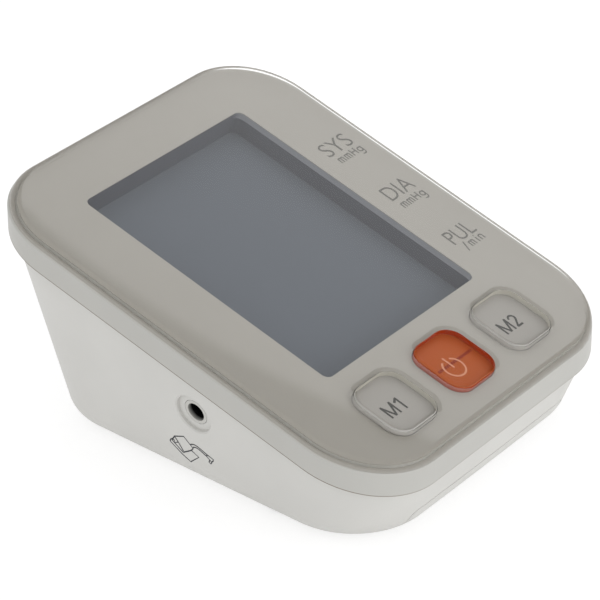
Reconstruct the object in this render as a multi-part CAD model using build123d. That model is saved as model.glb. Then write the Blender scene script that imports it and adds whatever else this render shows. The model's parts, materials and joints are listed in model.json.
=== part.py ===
from build123d import *
import math
import os

# Talking blood pressure monitor: a table-top case, low at the user's end, with a tilted front.
# The origin is under the middle of the case, on the surface it stands on.
# +X is the user's right, +Y the high rear end and +Z up. All sizes are in millimetres.
# Pieces of the tilted front are drawn flat, in the front's own directions: x to the right,
# y up the slope and z out of the front, from the middle of the printed film at the window.

# Tilted front and its window
front_tilt = 18.485
window_height = 43.13
window_width = 59.0
window_length = 73.4
window_corner = 1.9

# Upper housing: a band with upright walls, and a deck under the clear plate
cover_width = 101.74
cover_front = 69.6
cover_rear = 50.45
cover_front_corner = 21.7
cover_rear_corner = 19.45
cover_wall = 2.6
seam_depth = 6.6
deck_thickness = 2.0

# Clear plate over the whole front
lens_thickness = 1.35
lens_skirt = 0.85
lens_rim = 1.7
lens_side_step = 0.55
lens_end_step = 0.12
film_thickness = 0.2
film_gap = 0.1

# Lower housing, whose sides lean in towards the floor
shell_step = 1.3
shell_step_rear = 0.6
shell_wall = 2.2
shell_floor = 2.6
base_half_front = 47.2
base_half_rear = 38.1
base_front = 57.55
base_rear = 40.95
base_front_corner = 20.6
base_rear_corner = 18.2
base_bow = 0.8
base_round = 7.1
seam_round = 0.3
tongue_height = 2.0
tongue_thickness = 1.0
fit_gap = 0.1
catch_x = 17.0
catch_length = 10.0
catch_depth = 0.6
catch_height = 0.8

# Feet
foot_stand_out = 0.5
foot_recess = 0.5
foot_width = 3.6
foot_length = 14.0
front_foot_x = 36.2
front_foot_y = -32.5
rear_foot_x = 13.0
rear_foot_y = 37.4
foot_edge_round = 0.3

# Keys, in a row below the window
key_size = 16.4
key_corner = 4.6
key_space = 7.0
key_row = 51.4
key_cap_top = 1.5
key_gap = 0.25
key_flange = 1.4
key_flange_thickness = 0.9
key_travel = 0.6
key_edge_round = 0.7
key_dish = 1.0
switch_size = 6.0
switch_height = 2.3
switch_plunger_radius = 1.7
switch_floor = 0.3
running_gap = 0.06
key_clearance = 0.2
key_board_thickness = 1.0
key_board_half_width = 33.0
key_board_half_length = 5.0
key_post_radius = 1.7
key_screw_radius = 0.7
key_screw_length = 4.0
key_screw_head = 0.8

# Display, held under the deck by its frame
frame_wall = 1.3
frame_depth = 6.3
frame_skirt = 10.0
glass_ledge = 1.5
glass_thickness = 2.2
glass_corner = 1.0
reflector_thickness = 0.3
connector_width = 2.4
foam_strip_width = 3.0
peg_radius = 1.0
peg_front = -12.0
peg_rear = 18.0
ear_size = 6.0
ear_thickness = 2.2

# Main board
board_depth = 13.0
board_thickness = 1.6
board_half_width = 33.5
board_front = 30.0
board_rear = 40.5
board_ear_x = 35.4
board_ear_front = 26.5
board_ear_rear = 33.0
board_ear_size = 6.6
post_radius = 2.5
board_screw_radius = 1.0
board_screw_length = 7.0
board_screw_head = 1.2
pilot_gap = 0.05
controller_x = -10.0
controller_slope = -12.0
controller_size = 12.0
controller_height = 1.6
speech_chip_x = 9.0
speech_chip_slope = -14.0
speech_chip_size = 9.0
speech_chip_height = 1.4
capacitor_radius = 3.1
capacitor_height = 5.5
capacitor_slope = -3.0
capacitor_x = 19.0
capacitor_pitch = 7.0

# Ribbon between the boards
cable_left = -24.5
cable_width = 11.0
cable_thickness = 0.3
cable_bend = 1.2
cable_tail = 3.0
cable_drop_slope = -41.0
cable_rise_slope = -36.0

# Battery bay: four cells side by side, between the front feet
cell_radius = 7.1
cell_length = 49.2
cell_nub_radius = 2.75
cell_nub_length = 1.3
cell_pitch = 15.0
cell_count = 4
cell_clearance = 0.3
bay_rear_y = 8.5
bay_side_gap = 0.8
bay_wall = 1.5
bay_ceiling = 1.0
contact_thickness = 0.4
contact_width = 9.0
spring_depth = 1.7
spring_taper = 0.8

# Battery door, which slides off towards the user
door_thickness = 1.8
door_gap = 0.15
door_tongue = 1.2
door_tongue_thickness = 0.9
door_tongue_drop = 0.8
door_rear_y = 10.0
lip_top = 6.5
lip_corner = 3.2
lip_thickness = 1.9
lip_backing_height = 8.8
grip_rib_count = 5
grip_rib_pitch = 2.4
grip_rib_depth = 0.5
grip_rib_length = 16.0

# Case screws near the front, driven up from wells in the underside
screw_x = 38.0
screw_y = -21.5
screw_boss_radius = 3.5
screw_well_radius = 3.2
screw_head_radius = 2.7
screw_head_height = 1.8
screw_radius = 1.1
screw_length = 16.0
screw_hole_radius = 1.6
boss_split_height = 8.0
well_top = 4.0

# Socket for the cuff's hose, in the left wall
port_y = -3.4
port_height = 22.25
port_recess_radius = 5.0
port_recess_depth = 1.0
port_bore_radius = 2.4
port_bore_length = 6.0
port_throat_radius = 1.2
port_end_wall = 1.6
port_outer_radius = 3.2
port_flange_radius = 4.8
port_flange_thickness = 1.2
port_flange_gap = 0.2
port_body_depth = 11.0
port_edge = 0.3

# Hoses and the block that joins them
nipple_radius = 1.5
nipple_bore = 0.8
hose_radius = 2.3
hose_fit = 0.05
nipple_length = 3.0
nipple_root = 1.5
sensor_nipple_gap = 0.8
socket_bend_drop = 4.5
socket_hose_bend = 2.6
valve_hose_bend = 2.7
manifold_left = -39.5
manifold_right = -33.0
manifold_front = 10.5
manifold_rear = 29.0
manifold_low = 12.0
manifold_high = 19.0
manifold_wing_right = -25.5
manifold_wing_rear = 18.5
socket_hose_x = -37.2
socket_hose_y = 13.0
valve_hose_x = -36.4
valve_hose_height = 30.0
sensor_x = -29.0
sensor_slope = -1.0
sensor_size = 9.0
sensor_height = 4.0

# Pump, lying across the rear
pump_y = 23.5
pump_height = 15.2
motor_radius = 11.0
motor_wall = 0.8
motor_left = -2.0
motor_right = 22.0
shaft_radius = 1.0
shaft_gap = 0.05
rotor_radius = 9.4
rotor_left = 3.0
rotor_right = 17.0
crank_radius = 4.5
crank_throw = 2.2
crank_left = -8.0
crank_right = -5.5
crank_pin_left = -11.0
head_size = 20.0
head_corner = 1.0
saddle_thickness = 2.0
saddle_drop = 4.0
support_inset = 1.0
housing_left = -14.0
cover_left = -22.0
diaphragm_thickness = 0.8
head_cavity_radius = 8.4
sleeve_thickness = 1.0
sleeve_left = 4.0
sleeve_right = 18.0

# Exhaust valve, standing beside the pump
valve_x = 30.5
valve_y = 21.0
valve_half_width = 6.0
valve_half_length = 7.0
valve_low = 4.8
valve_height = 14.0
valve_plate = 1.2
valve_plunger_radius = 2.42
valve_bore_radius = 2.5
valve_coil_radius = 5.6
valve_core_height = 1.2
valve_travel = 0.8
valve_cap_height = 3.4

# Speaker behind the rear wall
speaker_height = 26.0
speaker_radius = 14.0
speaker_cone_radius = 12.0
speaker_magnet_radius = 7.0
speaker_rim_depth = 1.8
speaker_basket_depth = 2.2
speaker_magnet_depth = 2.0
speaker_wall = 0.6
speaker_paper = 0.3
sound_hole_radius = 0.75
sound_hole_pitch = 3.0
sound_hole_rings = 3
speaker_rib = 1.2

# Socket for a mains adapter, in the rear wall
jack_x = 16.5
jack_height = 9.0
jack_half_width = 4.5
jack_half_height = 4.2
jack_collar_radius = 3.9
jack_bore_radius = 2.75
jack_bore_depth = 9.5
jack_pin_radius = 1.0
jack_pin_recess = 1.5
jack_mouth_recess = 0.6
jack_front_y = 36.0
jack_rear_y = 44.8

tilt = math.radians(front_tilt)
front_reach = cover_front * math.cos(tilt) - seam_depth * math.sin(tilt)
rear_reach = cover_rear * math.cos(tilt) + seam_depth * math.sin(tilt)
window_y = (front_reach - rear_reach) / 2
front = Location(Plane(
    origin=(0, window_y, window_height),
    x_dir=(1, 0, 0),
    z_dir=(0, -math.sin(tilt), math.cos(tilt)),
))
deck_under = film_thickness + deck_thickness
body_bottom = foot_stand_out
floor_top = body_bottom + shell_floor
key_pitch = key_size + key_space
key_columns = [-key_pitch, 0, key_pitch]
far = 200


# Simple forms

def block(low, high):
    """Box between two corners."""
    size = [b - a for a, b in zip(low, high)]
    middle = [(a + b) / 2 for a, b in zip(low, high)]
    return Pos(*middle) * Box(*size)


def rod(radius, start, end):
    """Cylinder from one point to another."""
    line = Vector(end) - Vector(start)
    place = Location(Plane(origin=start, z_dir=line))
    return place * Cylinder(radius, line.length, align=(Align.CENTER, Align.CENTER, Align.MIN))


def pipe(radius, bore, start, end):
    """Cylinder with a bore along it."""
    return rod(radius, start, end) - rod(bore, start, end)


def outline(half_width, near, far_end, near_radius, far_radius):
    """Rounded rectangle that reaches near towards the user and far_end away from the user."""
    corners = [(half_width, -near), (half_width, far_end), (-half_width, far_end), (-half_width, -near)]
    radii = [near_radius, far_radius, far_radius, near_radius]
    return Face(FilletPolyline(*corners, radius=radii, close=True).wire())


def slab(face, low, high):
    """Plate with the outline of a flat face, between two heights."""
    return extrude(Pos(0, 0, low) * face, high - low, dir=(0, 0, 1))


def square_plate(size, corner, x, y, low, high):
    """Rounded square plate, centred at x and y."""
    return slab(Pos(x, y) * RectangleRounded(size, size, corner), low, high)


def front_point(x, slope, out):
    """Place of a point of the tilted front in the case's own directions."""
    return (front * Pos(x, slope, out)).position


# The case's outside form

def seam_face(inset, rear_inset):
    """Outline at the seam between the housings, drawn in from the upper housing's edge."""
    face = outline(
        cover_width / 2 - inset, cover_front - inset, cover_rear - rear_inset,
        cover_front_corner - inset, cover_rear_corner - inset,
    )
    return front * Pos(0, 0, -seam_depth) * face


def upright(face, depth):
    """Upright walls on a seam outline, up to a depth under the printed film."""
    return extrude(face, (seam_depth - depth) / math.cos(tilt), dir=(0, 0, 1))


def base_face(inset):
    """Outline at the case's bottom, wider at the front, with a bowed front edge."""
    near = window_y - base_front + inset
    away = window_y + base_rear - inset
    wide = base_half_front - inset
    slim = base_half_rear - inset
    edges = [
        Line((wide, near), (slim, away)),
        Line((slim, away), (-slim, away)),
        Line((-slim, away), (-wide, near)),
        ThreePointArc((-wide, near), (0, near - base_bow), (wide, near)),
    ]
    face = Face(Wire([line.edge() for line in edges]))
    face = fillet([v for v in face.vertices() if v.Y < 0], base_front_corner - inset)
    return fillet([v for v in face.vertices() if v.Y > away - 0.001], base_rear_corner - inset).face()


def lower_form(inset):
    """The lower housing's outside form, drawn in by an inset, with sharp lower edges."""
    top = seam_face(shell_step + inset, shell_step + shell_step_rear + inset)
    return loft([Pos(0, 0, body_bottom) * base_face(inset), top], ruled=True)


def rounded_below(solid, height, radius):
    """Rounds the edges of a solid that lie at one height."""
    return fillet([e for e in solid.edges() if abs(e.center().Z - height) < 0.001], radius)


def cavity(inset, floor_height):
    """Space inside walls as thick as the inset, above a floor."""
    open_part = lower_form(inset) & block((-far, -far, floor_height), (far, far, far))
    return rounded_below(open_part, floor_height, base_round - inset)


def rounded_seam(solid, depth, radius):
    """Rounds the outer edges of a solid that lie at one depth under the printed film."""
    flat = front.inverse() * solid
    edges = [i for i, e in enumerate(flat.edges()) if abs(e.center().Z + depth) < 0.001]
    return front * fillet([flat.edges()[i] for i in edges], radius)


outside = rounded_below(lower_form(0), body_bottom, base_round)
outside = rounded_seam(outside, seam_depth, seam_round)
below_deck = front * block((-far, -far, -far), (far, far, -deck_under + deck_thickness / 2))


def wall_place(y, height):
    """Plane on the left wall, facing out, at a place along it and a height."""
    hits = outside.find_intersection_points(Axis((0, y, height), (-1, 0, 0)))
    point, normal = min(hits, key=lambda hit: hit[0].X)
    if normal.X > 0:
        normal = normal * -1
    return Location(Plane(origin=point, x_dir=Vector(0, 0, 1).cross(normal), z_dir=normal))


def rear_wall_place(x, height):
    """Plane on the flat rear wall, facing out."""
    low_y = window_y + base_rear
    top = front_point(0, cover_rear - shell_step - shell_step_rear, -seam_depth)
    run = Vector(0, top.Y - low_y, top.Z - body_bottom).normalized()
    y = low_y + (height - body_bottom) * run.Y / run.Z
    return Location(Plane(origin=(x, y, height), x_dir=(1, 0, 0), z_dir=(0, run.Z, -run.Y)))


port_place = wall_place(port_y, port_height)
speaker_place = rear_wall_place(0, speaker_height)
screw_places = [(side * screw_x, screw_y) for side in (-1, 1)]

# Battery bay sizes that follow from the cells and the door
door_top = body_bottom + door_thickness
cell_axis = door_top + cell_clearance + cell_radius
bay_top = cell_axis + cell_radius + cell_clearance
bay_half_width = cell_pitch * (cell_count - 1) / 2 + cell_radius + bay_side_gap
door_half_width = bay_half_width - door_gap
lip_half_width = door_half_width + door_tongue
bay_front_y = bay_rear_y - spring_depth - cell_nub_length - cell_length - contact_thickness
cell_columns = [(i - (cell_count - 1) / 2) * cell_pitch for i in range(cell_count)]
lip_end_y = window_y - base_front + base_round


# Battery door

def door_space(gap):
    """Room that the door fills in the case, with a gap all round."""
    plate = block(
        (-door_half_width - gap, -far, -far),
        (door_half_width + gap, door_rear_y + gap, door_top + gap),
    )
    half = lip_half_width + gap
    lip_face = outline(half, far, lip_top + gap, lip_corner, lip_corner)
    lip = Rot(90, 0, 0) * extrude(lip_face, far, dir=(0, 0, 1))
    lip = Pos(0, lip_end_y, 0) * lip
    return plate + lip - cavity(lip_thickness + gap, door_top + gap)


def door_tongues(gap):
    """Tongues along both sides of the door, or with a gap the grooves that they slide in."""
    low = body_bottom + door_tongue_drop - gap
    high = low + door_tongue_thickness + 2 * gap
    reach = door_half_width + door_tongue + gap
    strip = block((-reach, lip_end_y - gap, low), (reach, door_rear_y + gap, high))
    inner = door_half_width - 1
    return strip - block((-inner, -far, low - 1), (inner, far, high + 1))


def make_battery_door():
    """Plate that closes the bay, its side tongues and the lip up the front wall."""
    door = (door_space(0) & outside) + door_tongues(0)
    for i in range(grip_rib_count):
        y = lip_end_y + 4 + i * grip_rib_pitch
        groove = block(
            (-grip_rib_length / 2, y - grip_rib_depth, -1),
            (grip_rib_length / 2, y + grip_rib_depth, body_bottom + grip_rib_depth),
        )
        door -= groove
    return door


# Lower housing

def rear_catches(gap):
    """Catches on the seam's rear tongue, or with a gap the pockets that they snap into."""
    wall = front_point(0, cover_rear - cover_wall, -seam_depth)
    catches = []
    for side in (-1, 1):
        low = wall.Z + tongue_height / 2 - gap
        high = low + catch_height + 2 * gap
        half = catch_length / 2 + gap
        catches.append(block(
            (side * catch_x - half, wall.Y - tongue_thickness, low),
            (side * catch_x + half, wall.Y + catch_depth + gap, high),
        ))
    return catches


def foot_slots():
    """Outlines of the four feet, as places and lengths along X and Y."""
    slots = []
    for side in (-1, 1):
        slots.append((side * front_foot_x, front_foot_y, foot_width, foot_length))
        slots.append((side * rear_foot_x, rear_foot_y, foot_length, foot_width))
    return slots


def make_feet(gap, high):
    """The four pads, or with a gap the recesses that hold them."""
    pads = []
    for x, y, width, length in foot_slots():
        face = RectangleRounded(width + 2 * gap, length + 2 * gap, foot_width / 2 - 0.01 + gap)
        pad = slab(Pos(x, y) * face, 0, high)
        if not gap:
            pad = rounded_below(pad, 0, foot_edge_round)
        pads.append(pad)
    return pads


def battery_bay():
    """Walls and ceiling of the bay, and the block behind the door's lip."""
    half = bay_half_width + bay_wall
    bay = block(
        (-half, bay_front_y - bay_wall, body_bottom),
        (half, bay_rear_y + bay_wall, bay_top + bay_ceiling),
    )
    backing_half = lip_half_width + shell_wall
    backing = block(
        (-backing_half, -far, body_bottom),
        (backing_half, bay_front_y, body_bottom + lip_backing_height),
    )
    return (bay + backing) & outside


def bay_space():
    """Room for the cells, open below."""
    return block(
        (-bay_half_width, bay_front_y, -1),
        (bay_half_width, bay_rear_y, bay_top),
    )


def pump_supports():
    """Saddles under the motor and pads under the pump's head, the valve and the hose block."""
    sleeve = motor_radius + sleeve_thickness + fit_gap
    saddles = [
        block(
            (x, pump_y - motor_radius, body_bottom),
            (x + saddle_thickness, pump_y + motor_radius, pump_height - saddle_drop),
        )
        for x in (sleeve_left + saddle_thickness, sleeve_right - 2 * saddle_thickness)
    ]
    round_space = rod(sleeve, (motor_left, pump_y, pump_height), (motor_right, pump_y, pump_height))
    saddles = [saddle - round_space for saddle in saddles]
    head_low = pump_height - head_size / 2
    valve_half = (valve_half_width - support_inset, valve_half_length - support_inset)
    jack_half = jack_half_width - support_inset
    pads = [
        block(
            (cover_left + 2 * support_inset, pump_y - head_size / 3, body_bottom),
            (motor_left - 2 * support_inset, pump_y + head_size / 3, head_low),
        ),
        block(
            (valve_x - valve_half[0], valve_y - valve_half[1], body_bottom),
            (valve_x + valve_half[0], valve_y + valve_half[1], valve_low),
        ),
        block(
            (manifold_left + 3 * support_inset, manifold_front + 3 * support_inset, body_bottom),
            (manifold_right - support_inset, manifold_rear - 3 * support_inset, manifold_low),
        ),
        block(
            (jack_x - jack_half, jack_front_y + support_inset, body_bottom),
            (jack_x + jack_half, jack_rear_y, jack_height - jack_half_height),
        ),
    ]
    return saddles + pads


def sound_holes():
    """Rings of small holes through the rear wall in front of the speaker."""
    holes = []
    for ring in range(sound_hole_rings + 1):
        count = max(1, 6 * ring)
        for i in range(count):
            turn = 2 * math.pi * i / count
            x = ring * sound_hole_pitch * math.cos(turn)
            y = ring * sound_hole_pitch * math.sin(turn)
            holes.append(speaker_place * rod(sound_hole_radius, (x, y, -far / 40), (x, y, 1)))
    return holes


def make_lower_shell():
    """Lower housing."""
    inside = cavity(shell_wall, floor_top)
    shell = outside - inside
    tongue_in = cover_wall + fit_gap
    tongue_end = seam_depth - tongue_height
    tongue = upright(seam_face(tongue_in, tongue_in), tongue_end)
    tongue_in += tongue_thickness
    shell += tongue - upright(seam_face(tongue_in, tongue_in), tongue_end)
    for catch in rear_catches(0):
        shell += catch
    shell += battery_bay()
    for support in pump_supports():
        shell += support & outside
    for x, y in screw_places:
        shell += rod(screw_boss_radius, (x, y, body_bottom), (x, y, boss_split_height)) & outside
    rib = pipe(
        speaker_radius + speaker_rib + fit_gap, speaker_radius + fit_gap,
        (0, 0, -shell_wall - speaker_rim_depth), (0, 0, -shell_wall / 2),
    )
    shell += speaker_place * rib
    shell -= bay_space()
    shell -= door_space(door_gap)
    shell -= door_tongues(door_gap)
    for x, y in screw_places:
        shell -= rod(screw_well_radius, (x, y, -1), (x, y, well_top))
        shell -= rod(screw_hole_radius, (x, y, -1), (x, y, boss_split_height + 1))
    for pad in make_feet(fit_gap, body_bottom + foot_recess):
        shell -= pad
    shell -= port_place * rod(port_recess_radius, (0, 0, -port_recess_depth), (0, 0, 1))
    shell -= port_place * Cone(port_recess_radius, port_recess_radius + 2 * port_edge, 2 * port_edge)
    shell -= port_place * rod(port_outer_radius + fit_gap, (0, 0, -2 * shell_wall), (0, 0, 1))
    for hole in sound_holes():
        shell -= hole
    shell -= rod(
        jack_collar_radius + fit_gap, (jack_x, jack_rear_y - 1, jack_height), (jack_x, far, jack_height),
    )
    return shell


# Upper housing

def lens_face(inset):
    """Outline of the clear plate's foot, drawn in by an inset."""
    rise = (seam_depth - lens_skirt) * math.tan(tilt)
    return outline(
        cover_width / 2 - lens_side_step - inset,
        cover_front - rise - lens_end_step - inset,
        cover_rear + rise - lens_end_step - inset,
        cover_front_corner - lens_side_step - inset,
        cover_rear_corner - inset,
    )


def frame_half_width():
    """Half the width of the frame's neck in the deck's opening."""
    return window_width / 2 + frame_wall


def frame_half_length():
    """Half the length of the frame's neck in the deck's opening."""
    return window_length / 2 + frame_wall


def make_top_cover():
    """Upper housing: band, deck, screw bosses, board posts and frame pegs."""
    cover = upright(seam_face(0, 0), lens_skirt)
    cover = rounded_seam(cover, seam_depth, seam_round)
    cover = rounded_seam(cover, lens_skirt, seam_round)
    cover -= upright(seam_face(cover_wall, cover_wall), deck_under)
    cover += front * slab(lens_face(lens_rim + fit_gap), -deck_under, -film_thickness)
    for x, y in screw_places:
        cover += rod(screw_boss_radius, (x, y, boss_split_height), (x, y, far)) & below_deck
    peg_low = -deck_under - ear_thickness - 1
    for x in (-board_ear_x, board_ear_x):
        for y in (-board_ear_front, board_ear_rear):
            cover += front * rod(post_radius, (x, y, -board_depth), (x, y, -deck_under))
        for y in (peg_front, peg_rear):
            cover += front * rod(peg_radius, (x, y, peg_low), (x, y, -deck_under))
    for x in (-key_pitch / 2, key_pitch / 2):
        cover += front * rod(key_post_radius, (x, -key_row, -key_board_top()), (x, -key_row, -deck_under))
    for pocket in rear_catches(fit_gap):
        cover -= pocket
    window = RectangleRounded(
        2 * (frame_half_width() + fit_gap),
        2 * (frame_half_length() + fit_gap),
        window_corner + frame_wall,
    )
    cover -= front * slab(window, -deck_under - 1, 1)
    for x in key_columns:
        size = key_size + 2 * key_gap
        cover -= front * square_plate(size, key_corner + key_gap, x, -key_row, -deck_under - 1, 1)
    for x, y in screw_places:
        pilot_end = well_top + screw_length + 1
        cover -= rod(screw_radius + pilot_gap, (x, y, boss_split_height - 1), (x, y, pilot_end))
    board_pilot_end = -board_depth + board_screw_length
    for x in (-board_ear_x, board_ear_x):
        for y in (-board_ear_front, board_ear_rear):
            low = (x, y, -board_depth - 1)
            cover -= front * rod(board_screw_radius + pilot_gap, low, (x, y, board_pilot_end))
    for x in (-key_pitch / 2, key_pitch / 2):
        low = (x, -key_row, -key_board_top() - 1)
        cover -= front * rod(key_screw_radius + pilot_gap, low, (x, -key_row, -deck_under - key_clearance))
    return cover


def make_front_lens():
    """Clear plate with a quarter-round edge and a soft dish round each key."""
    lens = slab(lens_face(0), -lens_skirt, lens_thickness)
    top_edges = [e for e in lens.edges() if abs(e.center().Z - lens_thickness) < 0.001]
    lens = fillet(top_edges, lens_thickness + lens_skirt - 0.1)
    lens -= slab(lens_face(lens_rim), -lens_skirt - 1, 0)
    for x in key_columns:
        size = key_size + 2 * key_gap
        lens -= square_plate(size, key_corner + key_gap, x, -key_row, -1, lens_thickness + 1)
    rims = [
        e for e in lens.edges()
        if abs(e.center().Z - lens_thickness) < 0.001
        and min(abs(e.center().X - x) for x in key_columns) < key_size * 0.6
        and abs(e.center().Y + key_row) < key_size * 0.6
    ]
    lens = fillet(rims, key_dish)
    return front * lens


def make_panel_film():
    """Printed film under the clear plate."""
    film = slab(lens_face(lens_rim + film_gap), -film_thickness, 0)
    film -= slab(RectangleRounded(window_width, window_length, window_corner), -1, 1)
    for x in key_columns:
        size = key_size + 2 * key_gap
        film -= square_plate(size, key_corner + key_gap, x, -key_row, -1, 1)
    return front * film


# Display

def glass_half_width():
    """Half the width of the display's glass."""
    return window_width / 2 + glass_ledge


def glass_half_length():
    """Half the length of the display's glass."""
    return window_length / 2 + glass_ledge


def make_display_frame():
    """Frame whose inside is the wall of the recessed window, with ears for the deck's pegs."""
    outer_half_width = glass_half_width() + frame_wall
    outer_half_length = glass_half_length() + frame_wall
    corner = window_corner + frame_wall
    neck = RectangleRounded(2 * frame_half_width(), 2 * frame_half_length(), corner)
    body = RectangleRounded(2 * outer_half_width, 2 * outer_half_length, corner + glass_ledge)
    frame = slab(body, -frame_skirt, -deck_under) + slab(neck, -deck_under, -film_thickness)
    for side in (-1, 1):
        for y in (peg_front, peg_rear):
            ear = block(
                (side * outer_half_width - 1, y - ear_size / 2, -deck_under - ear_thickness),
                (side * outer_half_width + 1, y + ear_size / 2, -deck_under),
            )
            tab = block(
                (side * board_ear_x - ear_size / 2, y - ear_size / 2, -deck_under - ear_thickness),
                (side * board_ear_x + ear_size / 2, y + ear_size / 2, -deck_under),
            )
            frame += ear + tab
            x = side * board_ear_x
            frame -= rod(peg_radius + pilot_gap, (x, y, -far), (x, y, 0))
    frame -= slab(RectangleRounded(window_width, window_length, window_corner), -far, 1)
    pocket = RectangleRounded(
        2 * (glass_half_width() + fit_gap), 2 * (glass_half_length() + fit_gap), glass_corner,
    )
    frame -= slab(pocket, -far, -frame_depth)
    return front * frame


def make_lcd_glass():
    """Two glass plates of the display, as one."""
    face = RectangleRounded(2 * glass_half_width(), 2 * glass_half_length(), glass_corner)
    return front * slab(face, -frame_depth - glass_thickness, -frame_depth)


reflector_under = frame_depth + glass_thickness + reflector_thickness
connector_y = glass_half_length() - connector_width


def make_lcd_reflector():
    """Sheet behind the glass, clear of the connector's strip of contacts."""
    half = glass_half_width() - 1
    sheet = block(
        (-half, -glass_half_length() + 1, -reflector_under),
        (half, connector_y - connector_width, -reflector_under + reflector_thickness),
    )
    return front * sheet


def make_lcd_connector():
    """Striped rubber strip between the glass and the main board."""
    strip = block(
        (-glass_half_width() + 2, connector_y - connector_width / 2, -board_depth),
        (glass_half_width() - 2, connector_y + connector_width / 2, -frame_depth - glass_thickness),
    )
    return front * strip


def make_lcd_foam_strips():
    """Two foam strips that press the glass against its frame."""
    reach = glass_half_width() - 2
    strips = []
    for left in (-reach, reach - foam_strip_width):
        low = (left, -board_front + 2, -board_depth)
        high = (left + foam_strip_width, connector_y - 2 * foam_strip_width, -reflector_under)
        strips.append(front * block(low, high))
    return strips


# Boards

def key_board_top():
    """Depth of the key board's face, which lets the keys travel and their switches stand on it."""
    return deck_under + key_flange_thickness + key_travel + key_clearance + switch_height


def make_main_board():
    """Main board with an ear at each post."""
    low = -board_depth - board_thickness
    board = block((-board_half_width, -board_front, low), (board_half_width, board_rear, -board_depth))
    for side in (-1, 1):
        for y in (-board_ear_front, board_ear_rear):
            x = side * board_ear_x
            half = board_ear_size / 2
            board += block((x - half, y - half, low), (x + half, y + half, -board_depth))
            board -= rod(board_screw_radius + fit_gap, (x, y, low - 1), (x, y, 0))
    return front * board


def make_board_screws():
    """Four screws that hold the main board to the posts."""
    screws = []
    for side in (-1, 1):
        for y in (-board_ear_front, board_ear_rear):
            x = side * board_ear_x
            low = -board_depth - board_thickness
            head = rod(2 * board_screw_radius, (x, y, low - board_screw_head), (x, y, low))
            shank = rod(board_screw_radius, (x, y, low), (x, y, low + board_screw_length))
            screws.append(front * (head + shank))
    return screws


def chip(x, slope, size, height):
    """Flat package on the underside of the main board."""
    top = -board_depth - board_thickness
    half = size / 2
    return front * block((x - half, slope - half, top - height), (x + half, slope + half, top))


def make_board_capacitors():
    """Two round capacitors on the underside of the main board."""
    top = -board_depth - board_thickness
    cans = []
    for x in (capacitor_x, capacitor_x + capacitor_pitch):
        low = (x, capacitor_slope, top - capacitor_height)
        cans.append(front * rod(capacitor_radius, low, (x, capacitor_slope, top)))
    return cans


def make_key_board():
    """Narrow board under the keys."""
    top = -key_board_top()
    board = block(
        (-key_board_half_width, -key_row - key_board_half_length + fit_gap, top - key_board_thickness),
        (key_board_half_width, -key_row + key_board_half_length, top),
    )
    for side in (-1, 1):
        x = side * key_pitch / 2
        board -= rod(key_screw_radius + fit_gap, (x, -key_row, top - 2), (x, -key_row, top + 1))
    return front * board


def make_key_board_screws():
    """Two small screws that hold the key board to the deck."""
    under = -key_board_top() - key_board_thickness
    screws = []
    for side in (-1, 1):
        x = side * key_pitch / 2
        head = rod(2 * key_screw_radius, (x, -key_row, under - key_screw_head), (x, -key_row, under))
        shank = rod(key_screw_radius, (x, -key_row, under), (x, -key_row, under + key_screw_length))
        screws.append(front * (head + shank))
    return screws


def make_flat_cable():
    """Ribbon from the key board down to the main board."""
    key_under = -key_board_top() - key_board_thickness
    points = [
        (-key_row + 1, key_under),
        (-key_row + key_board_half_length + cable_bend / 2, key_under),
        (cable_drop_slope, -frame_skirt - cable_bend / 2),
        (cable_rise_slope, -board_depth + cable_bend),
        (-board_front - cable_bend / 2, -board_depth + cable_thickness),
        (-board_front + cable_tail, -board_depth + cable_thickness),
    ]
    upper = FilletPolyline(*points, radius=cable_bend)
    lower = FilletPolyline(*[(a, b - cable_thickness) for a, b in points], radius=cable_bend)
    ends = [Line(upper @ 0, lower @ 0), Line(upper @ 1, lower @ 1)]
    face = Face(Wire(upper.edges() + lower.edges() + [end.edge() for end in ends]))
    ribbon = extrude(face, cable_width, dir=(0, 0, 1))
    across = Location(Plane(origin=(cable_left, 0, 0), x_dir=(0, 1, 0), z_dir=(1, 0, 0)))
    return front * across * ribbon


# Keys and their switches

def make_key_cap(x):
    """Clear top of a key."""
    cap = square_plate(key_size, key_corner, x, -key_row, -film_thickness, key_cap_top)
    top_edges = [e for e in cap.edges() if abs(e.center().Z - key_cap_top) < 0.001]
    return front * fillet(top_edges, key_edge_round)


def make_key_base(x):
    """Printed body under a key's cap, with the flange that stops it under the deck."""
    flange_under = -deck_under - key_flange_thickness
    body = square_plate(key_size, key_corner, x, -key_row, flange_under, -film_thickness)
    flange_size = key_size + 2 * key_flange
    body += square_plate(flange_size, key_corner + key_flange, x, -key_row, flange_under, -deck_under)
    return front * body


def make_switch_plunger(x):
    """Round plunger of a key's switch, which rides down with the key."""
    top = -deck_under - key_flange_thickness
    low = -key_board_top() + switch_floor + key_travel
    return front * rod(switch_plunger_radius, (x, -key_row, low), (x, -key_row, top))


def make_switch_housings():
    """Square bodies of the three switches, each with a well for its plunger."""
    low = -key_board_top()
    housings = []
    for x in key_columns:
        half = switch_size / 2
        high = low + switch_height
        body = block((x - half, -key_row - half, low), (x + half, -key_row + half, high))
        well = rod(switch_plunger_radius + running_gap, (x, -key_row, low + key_clearance), (x, -key_row, 0))
        body -= well
        housings.append(front * body)
    return housings


# Battery parts

def make_cells():
    """Four cells that lie side by side, every other one turned round."""
    low_y = bay_front_y + contact_thickness
    high_y = low_y + cell_length + cell_nub_length
    cells = []
    for i, x in enumerate(cell_columns):
        if i % 2:
            body = rod(cell_radius, (x, low_y, cell_axis), (x, high_y - cell_nub_length, cell_axis))
        else:
            body = rod(cell_radius, (x, low_y + cell_nub_length, cell_axis), (x, high_y, cell_axis))
        cells.append(body + rod(cell_nub_radius, (x, low_y, cell_axis), (x, high_y, cell_axis)))
    return cells


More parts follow.
